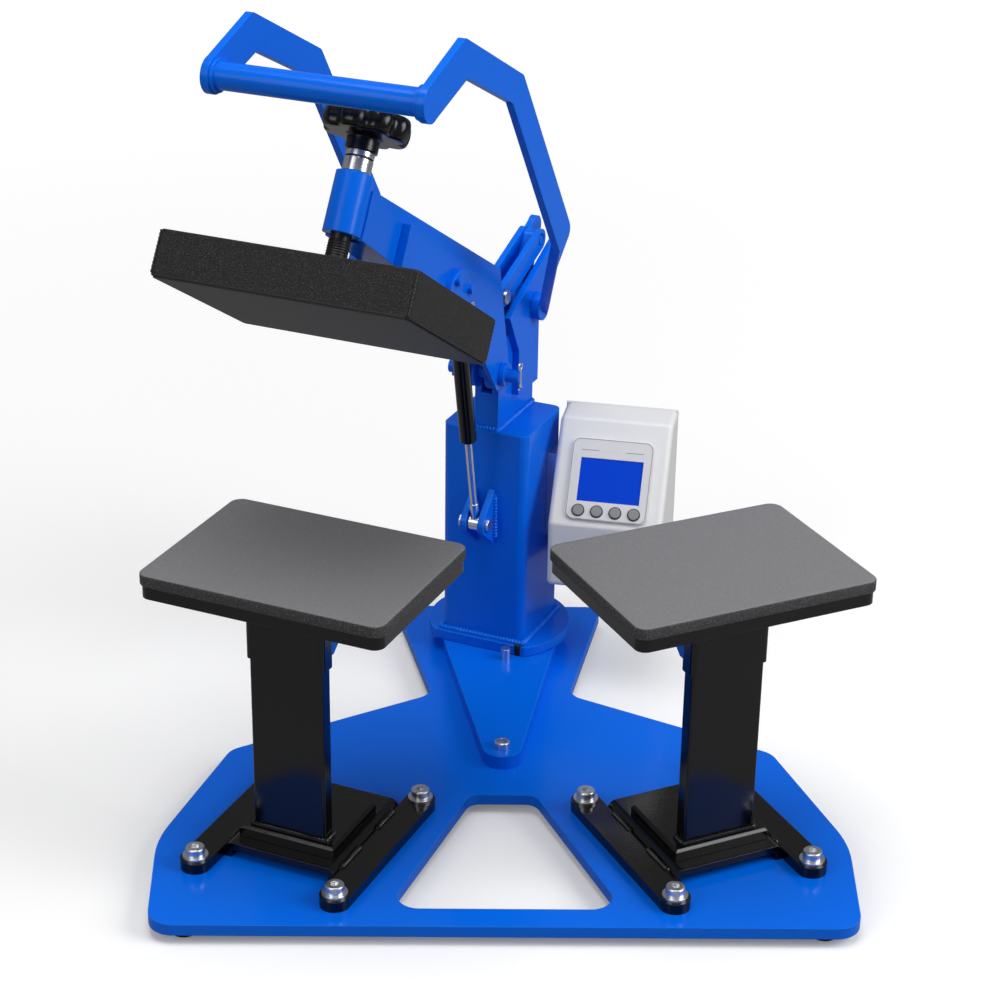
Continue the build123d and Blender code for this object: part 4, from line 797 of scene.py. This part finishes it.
@dataclass
class PressureKnob(Piece):
    """The lobed knob and the screw's thread."""

    outer: float = 34.0 * MM
    lobe_depth: float = 4.4 * MM
    lobes: int = 8
    lobe_sharpness: float = 2.2
    thickness: float = 18.0 * MM
    edge: float = 3.5 * MM
    edge_steps: int = 11
    rim: float = 9.0 * MM
    rim_rise: float = 0.3 * MM
    under_share: float = 0.5
    over_share: float = 0.6
    hub: float = 12.5 * MM
    hub_flare: float = 2.0 * MM
    bore: float = 8.3 * MM
    dish: float = 16.0 * MM
    dish_depth: float = 1.2 * MM
    around: int = 192
    thread_pitch: float = 2.0 * MM
    thread_height: float = 0.5 * MM
    thread_steps: int = 8
    thread_around: int = 48
    thread_above_boss: float = 0.3 * MM
    thread_below_sleeve: float = 4.3 * MM
    rod: float = 8.02 * MM

    def lobed_ring(self, radius: float, depth: float, height: float) -> np.ndarray:
        """A ring whose radius dips between lobes: the radius less a depth times a sharpened cosine."""
        angle = np.linspace(0, 2 * math.pi, self.around, endpoint=False)
        dip = np.clip((1 - np.cos(self.lobes * angle)) / 2, 0, 1) ** self.lobe_sharpness
        reach = radius - depth * dip
        level = np.full(self.around, height)
        return np.stack([reach * np.cos(angle), reach * np.sin(angle), level], axis=-1)

    def profile(self, foot: float, under: float, top: float) -> list[tuple[float, float, float]]:
        """The knob's section as radius, lobe depth and height, from the hub's foot up over the top."""
        rows = [
            (self.bore, 0.0, foot),
            (self.hub, 0.0, foot),
            (self.hub, 0.0, under - self.hub_flare),
            (self.hub + self.hub_flare, 0.0, under),
            (self.outer - self.rim, self.lobe_depth * self.under_share, under),
        ]
        halfway = (under + top) / 2
        swell = (top - under) / 2
        for turn in np.linspace(-math.pi / 2, math.pi / 2, self.edge_steps):
            reach = self.outer - self.edge + self.edge * math.cos(turn)
            rows.append((reach, self.lobe_depth, halfway + swell * math.sin(turn)))
        rows.append((self.outer - self.rim, self.lobe_depth * self.over_share, top + self.rim_rise))
        rows.append((self.dish, 0.0, top - self.dish_depth))
        rows.append((self.bore, 0.0, top - self.dish_depth))
        return rows

    def build(self) -> None:
        """Builds the knob in place of its CAD solid, and the thread that shows under the arm."""
        place = screw_place()
        foot, top = place.span("pressure_knob")
        rings = np.array([self.lobed_ring(*row) for row in self.profile(foot, top - self.thickness, top)])
        faces = ring_faces(len(rings), self.around)
        step = np.arange(self.around)
        after = (step + 1) % self.around
        last = (len(rings) - 1) * self.around
        bore_wall = np.stack([last + step, last + after, after, step], axis=-1)
        knob = make_object("lobed_knob", place.at(rings), faces.tolist() + bore_wall.tolist())
        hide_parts("pressure_knob")
        self.finish(knob, KNOB, "black_knob_plastic", "screw")
        self.thread(place)

    def thread(self, place: Place) -> None:
        """The thread: a tube whose radius follows a triangle wave of height less turn over pitch."""
        low = place.span("swivel_boss")[1] + self.thread_above_boss
        high = place.span("screw_sleeve")[0] - self.thread_below_sleeve
        level, angle = np.meshgrid(
            np.arange(low, high, self.thread_pitch / self.thread_steps),
            np.linspace(0, 2 * math.pi, self.thread_around, endpoint=False),
            indexing="ij",
        )
        phase = (level / self.thread_pitch - angle / (2 * math.pi)) % 1.0
        reach = self.rod + self.thread_height * (1 - np.abs(2 * phase - 1))
        local = np.stack([reach * np.cos(angle), reach * np.sin(angle), level], axis=-1)
        self.finish(closed_stack("screw_thread", place.at(local)), STEEL_DARK, "bright_plate", "screw")


@dataclass
class ScrewCollar(Piece):
    """The bright turned collar under the knob, with a groove round it."""

    bore: float = 8.2 * MM
    lower_radius: float = 11.0 * MM
    upper_radius: float = 10.9 * MM
    groove: float = 0.7 * MM
    above_sleeve: float = 0.65 * MM
    below_knob: float = 0.05 * MM
    around: int = 64

    def profile(self) -> list[tuple[float, float]]:
        """The collar's section as radius and share of its height, from the foot up."""
        lower_cut = self.lower_radius - self.groove
        upper_cut = self.upper_radius - self.groove
        return [
            (self.bore, 0.0),
            (lower_cut, 0.0),
            (self.lower_radius, 0.05),
            (self.lower_radius, 0.35),
            (self.lower_radius, 0.62),
            (lower_cut, 0.66),
            (upper_cut, 0.7),
            (self.upper_radius, 0.74),
            (self.upper_radius, 0.95),
            (upper_cut, 1.0),
            (self.bore, 1.0),
        ]

    def build(self) -> None:
        """The collar is a turned profile: radius against height, with a groove and small chamfers."""
        place = screw_place()
        low = place.span("screw_sleeve")[1] + self.above_sleeve
        high = place.span("pressure_knob")[0] - self.below_knob
        angle = np.linspace(0, 2 * math.pi, self.around, endpoint=False)
        rings = []
        for radius, share in self.profile():
            ring = np.stack([np.cos(angle), np.sin(angle)], axis=-1) * radius
            rings.append(np.column_stack([ring, np.full(self.around, low + share * (high - low))]))
        collar = closed_stack("turned_collar", place.at(np.array(rings)))
        self.finish(collar, CHROME, "bright_plate", "screw")


@dataclass
class PanelMarks(Piece):
    """The panel's outline, the two short rules over the display and the rings round the buttons."""

    half_width: float = 34.9 * MM
    half_height: float = 35.9 * MM
    corner_radius: float = 6.5 * MM
    outline_points: int = 160
    line: float = 0.32 * MM
    line_sides: int = 6
    middle_up: float = 28.5 * MM
    rule_up: float = 54.5 * MM
    rule_near: float = 12.0 * MM
    rule_far: float = 27.0 * MM
    rule_points: int = 8
    ring_radius: float = 5.25 * MM
    ring_line: float = 0.5 * MM
    ring_points: int = 49
    buttons: int = 4
    button_rise: float = 2.0 * MM
    top_depth: float = 0.1 * MM

    def place(self) -> Place:
        """The panel's plane: along the buttons, up the slope, and out along the buttons' travel."""
        first = self.button_top("button_1")
        last = self.button_top(f"button_{self.buttons}")
        across = (last - first) / np.linalg.norm(last - first)
        out = self.outward()
        return Place((first + last) / 2 - out * self.button_rise, across, np.cross(out, across), out)

    def outward(self) -> np.ndarray:
        """The direction out of the panel, against the buttons' travel."""
        return -np.array(joint("button_1_press")["axis"])

    def button_top(self, node: str) -> np.ndarray:
        """The middle of a button's outer face."""
        points = node_points(node)
        along = points @ self.outward()
        return points[along > along.max() - self.top_depth].mean(axis=0)

    def draw(self, name: str, path: np.ndarray, radius: float, ink: Finish) -> None:
        """Lays a thin line of ink along a path."""
        line = closed_stack(name, tube_along(path, np.full(len(path), radius), self.line_sides))
        self.finish(line, ink, "panel_plastic", "column")

    def build(self) -> None:
        """Builds the outline as a thin raised tube and each rule as a short one."""
        place = self.place()
        ring = rounded_rectangle(self.half_width, self.half_height, self.corner_radius, self.outline_points)
        local = np.column_stack([ring[:, 0], ring[:, 1] + self.middle_up, np.zeros(len(ring))])
        self.draw("panel_outline", place.at(np.vstack([local, local[:1]])), self.line, PANEL_INK)
        for side, label in ((-1, "left"), (1, "right")):
            reach = np.linspace(self.rule_near, self.rule_far, self.rule_points) * side
            height = np.full(self.rule_points, self.rule_up)
            local = np.column_stack([reach, height, np.zeros(self.rule_points)])
            self.draw(f"panel_rule_{label}", place.at(local), self.line, PANEL_INK)
        self.rings(place)

    def rings(self, place: Place) -> None:
        """A dark ring round each button: a thin tube along a circle about the button's middle."""
        turn = np.linspace(0, 2 * math.pi, self.ring_points)
        circle = np.column_stack([np.cos(turn), np.sin(turn), np.zeros(self.ring_points)])
        for number in range(1, self.buttons + 1):
            foot = self.button_top(f"button_{number}") - place.up * self.button_rise
            around = Place(foot, place.side, place.ahead, place.up)
            path = around.at(circle * self.ring_radius)
            self.draw(f"button_ring_{number}", path, self.ring_line, RING_INK)


@dataclass
class CoverSeams(Piece):
    """The heater cover's corner seams, and the line where the cover meets the plate."""

    half_length: float = 103.0 * MM
    half_depth: float = 78.0 * MM
    seam_inset: float = 0.9 * MM
    seam_low: float = 3.0 * MM
    seam_high: float = 35.0 * MM
    seam_points: int = 60
    seam_sides: int = 8
    radius: float = 0.7 * MM
    wave: float = 0.25
    wave_rate: float = 2100.0
    lip: float = 0.45 * MM
    lip_inset: float = 0.35 * MM
    lip_corner: float = 4.0 * MM
    lip_height: float = 1.9 * MM
    lip_points: int = 200
    lip_sides: int = 6

    def place(self) -> Place:
        """The middle of the heater plate's underside, with up along the screw."""
        place = screw_place()
        low = place.span("heater_block")[0]
        return Place(place.origin + place.up * low, place.side, place.ahead, place.up)

    def seam(self, place: Place, side: int, ahead: int) -> None:
        """One corner's seam: a short tube whose radius wavers by a sine along its length."""
        height = np.linspace(self.seam_low, self.seam_high, self.seam_points)
        across = np.full(self.seam_points, side * (self.half_length - self.seam_inset))
        along = np.full(self.seam_points, ahead * (self.half_depth - self.seam_inset))
        path = place.at(np.column_stack([across, along, height]))
        radii = self.radius * (1 + self.wave * np.sin(height * self.wave_rate + side + ahead))
        name = f"cover_seam_{'right' if side > 0 else 'left'}_{'far' if ahead > 0 else 'near'}"
        tube = closed_stack(name, tube_along(path, radii, self.seam_sides))
        self.finish(tube, SEAM, "black_grained_coat", "platen")

    def build(self) -> None:
        """Builds the four corner seams, and the line as a thin tube round the cover's foot."""
        place = self.place()
        for side in (-1, 1):
            for ahead in (-1, 1):
                self.seam(place, side, ahead)
        half_x = self.half_length - self.lip_inset
        half_y = self.half_depth - self.lip_inset
        ring = rounded_rectangle(half_x, half_y, self.lip_corner, self.lip_points)
        local = np.column_stack([ring, np.full(len(ring), self.lip_height)])
        path = place.at(np.vstack([local, local[:1]]))
        line = closed_stack("cover_lip", tube_along(path, np.full(len(path), self.lip), self.lip_sides))
        self.finish(line, SEAM, "black_grained_coat", "platen")


@dataclass
class SplitPin(Piece):
    """The split pin through the hinge pin's right end: an eye and two legs of wire."""

    wire: float = 1.0 * MM
    wire_sides: int = 8
    along_pin: float = 32.2 * MM
    eye: float = 3.2 * MM
    eye_height: float = 9.5 * MM
    eye_turn: float = math.pi * 0.75
    eye_points: int = 24
    leg_gap: float = 0.8 * MM
    leg_heights: tuple[float, ...] = (6.5 * MM, 2.0 * MM, -4.0 * MM, -8.0 * MM)
    left_end: tuple[float, float, float] = (0.0, -3.5 * MM, -10.5 * MM)
    right_end: tuple[float, float, float] = (0.0, 2.5 * MM, -11.5 * MM)

    def build(self) -> None:
        """The wire runs up one leg, round the eye's arc and down the other leg."""
        head = head_place()
        hinge = np.array(joint("head_close")["pos_m"])
        turn = np.linspace(-self.eye_turn, self.eye_turn, self.eye_points)
        height = self.eye * np.cos(turn) + self.eye_height
        eye = np.column_stack([np.zeros(self.eye_points), self.eye * np.sin(turn), height])
        left = np.array([[0.0, -self.leg_gap, level] for level in self.leg_heights])
        right = left * [1.0, -1.0, 1.0]
        local = np.vstack([[self.left_end], left[::-1], eye, right, [self.right_end]])
        place = Place(hinge + head.side * self.along_pin, head.side, head.ahead, head.up)
        path = place.at(local)
        wire = closed_stack("split_pin", tube_along(path, np.full(len(path), self.wire), self.wire_sides))
        self.finish(wire, ZINC, "zinc_plate", "column")


@dataclass(frozen=True)
class Lamp:
    """A soft rectangular lamp: where it stands and its size in metres, and its power in watts."""

    name: str
    place: tuple[float, float, float]
    size: tuple[float, float]
    power: float


LAMPS = (
    Lamp("key_lamp", (1.9, -0.7, 1.5), (1.4, 1.4), 36.0),
    Lamp("fill_lamp", (-1.6, -1.8, 1.6), (1.4, 1.4), 15.0),
    Lamp("top_lamp", (-0.2, -0.2, 2.6), (1.8, 1.4), 34.0),
)


@dataclass
class Studio:
    """The floor, the lamps, the world and the camera."""

    camera_point: tuple[float, float, float] = (-34.523 * MM, -1774.128 * MM, 1059.364 * MM)
    yaw: float = -0.017
    pitch: float = 0.433
    roll: float = -0.016
    focal_pixels: float = 2400.0
    picture_pixels: float = 1000.0
    sensor_mm: float = 36.0
    clip_near: float = 0.05
    clip_far: float = 50.0
    aim: tuple[float, float, float] = (0.0, 0.0, 0.3)
    ambient: float = 0.2
    floor_half: float = 6.0
    floor_roughness: float = 0.9
    floor_specular: float = 0.1
    seen_floor: float = 0.85
    unseen_floor: float = 0.35
    floor_glow: float = 0.16
    far_glow: float = 0.85
    glow_from: float = 0.4
    glow_to: float = 3.0

    def camera(self) -> None:
        """Sets the camera from its yaw, pitch and roll: forward, then right and down turned by the roll."""
        level = math.cos(self.pitch)
        forward = Vector((
            -math.sin(self.yaw) * level, math.cos(self.yaw) * level, -math.sin(self.pitch),
        ))
        right = Vector((math.cos(self.yaw), math.sin(self.yaw), 0))
        down = forward.cross(right)
        turned_right = math.cos(self.roll) * right + math.sin(self.roll) * down
        turned_down = -math.sin(self.roll) * right + math.cos(self.roll) * down
        data = bpy.data.cameras.new("photo_camera")
        data.sensor_width = self.sensor_mm
        data.lens = self.focal_pixels / self.picture_pixels * self.sensor_mm
        data.clip_start = self.clip_near
        data.clip_end = self.clip_far
        camera = bpy.data.objects.new("photo_camera", data)
        axes = Matrix((turned_right, -turned_down, -forward)).transposed()
        camera.matrix_world = Matrix.Translation(Vector(self.camera_point)) @ axes.to_4x4()
        bpy.context.scene.collection.objects.link(camera)
        bpy.context.scene.camera = camera

    def floor(self) -> None:
        """A wide pale floor that camera rays see as nearly white, with the object's shadow on it."""
        half = self.floor_half
        points = np.array([[-half, -half, 0], [half, -half, 0], [half, half, 0], [-half, half, 0]])
        floor = make_object("studio_floor", points, [[0, 1, 2, 3]], smooth=False)
        material = bpy.data.materials.new("pale_floor")
        material.use_nodes = True
        tree = material.node_tree
        shader = tree.nodes["Principled BSDF"]
        shader.inputs["Roughness"].default_value = self.floor_roughness
        shader.inputs["Specular IOR Level"].default_value = self.floor_specular
        shader.inputs["Emission Color"].default_value = (1, 1, 1, 1)
        seen = tree.nodes.new("ShaderNodeLightPath").outputs["Is Camera Ray"]
        colour = mix_colours(tree, seen, (self.unseen_floor,) * 3, (self.seen_floor,) * 3)
        link(tree, colour, shader.inputs["Base Color"])
        place = tree.nodes.new("ShaderNodeTexCoord")
        reach = tree.nodes.new("ShaderNodeVectorMath")
        reach.operation = "LENGTH"
        link(tree, place.outputs["Object"], reach.inputs[0])
        bounds = {"From_Min": self.glow_from, "From_Max": self.glow_to}
        far = add_node(tree, "MapRange", **bounds, To_Min=self.floor_glow, To_Max=self.far_glow)
        link(tree, reach.outputs["Value"], far.inputs["Value"])
        glow = math_node(tree, "MULTIPLY", seen, far.outputs["Result"])
        link(tree, glow, shader.inputs["Emission Strength"])
        floor.data.materials.append(material)

    def hang(self, lamp: Lamp) -> None:
        """Adds a lamp that faces the point aimed at."""
        data = bpy.data.lights.new(lamp.name, "AREA")
        data.shape = "RECTANGLE"
        data.size, data.size_y = lamp.size
        data.energy = lamp.power
        light = bpy.data.objects.new(lamp.name, data)
        light.location = lamp.place
        light.rotation_mode = "QUATERNION"
        towards = Vector(self.aim) - Vector(lamp.place)
        light.rotation_quaternion = towards.to_track_quat("-Z", "Y")
        bpy.context.scene.collection.objects.link(light)

    def world(self) -> None:
        """A world that camera and transmitted rays see as white, and that is dim as a light."""
        world = bpy.data.worlds.new("studio_world")
        world.use_nodes = True
        tree = world.node_tree
        path = tree.nodes.new("ShaderNodeLightPath")
        seen = math_node(
            tree, "MAXIMUM", path.outputs["Is Camera Ray"], path.outputs["Is Transmission Ray"]
        )
        strength = math_node(tree, "MULTIPLY_ADD", seen, 1.0 - self.ambient, self.ambient)
        background = tree.nodes["Background"]
        background.inputs["Color"].default_value = (1, 1, 1, 1)
        link(tree, strength, background.inputs["Strength"])
        bpy.context.scene.world = world

    def build(self) -> None:
        """Sets the whole studio."""
        self.camera()
        self.floor()
        self.world()
        for lamp in LAMPS:
            self.hang(lamp)
        bpy.context.scene.view_settings.view_transform = "Standard"


def dress_nodes(shelf: FinishShelf) -> None:
    """Gives every CAD node the finish of its slot in the record, or its own."""
    slots = {row["node"]: row["material_slot"] for row in frame["record"]["subparts"]}
    for name, node in frame["nodes"].items():
        finish = NODE_FINISHES.get(name) or SLOT_FINISHES[slots[name]]
        material = shelf.get(finish)
        if not node.material_slots:
            node.data.materials.append(material)
        for place in node.material_slots:
            place.material = material
        LOG.info("%s wears %s", name, finish.name)


def main() -> None:
    """Builds the whole scene in order."""
    logging.basicConfig(level=logging.INFO, format="%(message)s")
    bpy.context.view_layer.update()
    shelf = FinishShelf()
    dress_nodes(shelf)
    for kind in (FoamPads, WeldBeads, PressureKnob, ScrewCollar, PanelMarks, CoverSeams, SplitPin):
        kind(shelf).build()
    Studio().build()


if __name__ == "__main__":
    main()
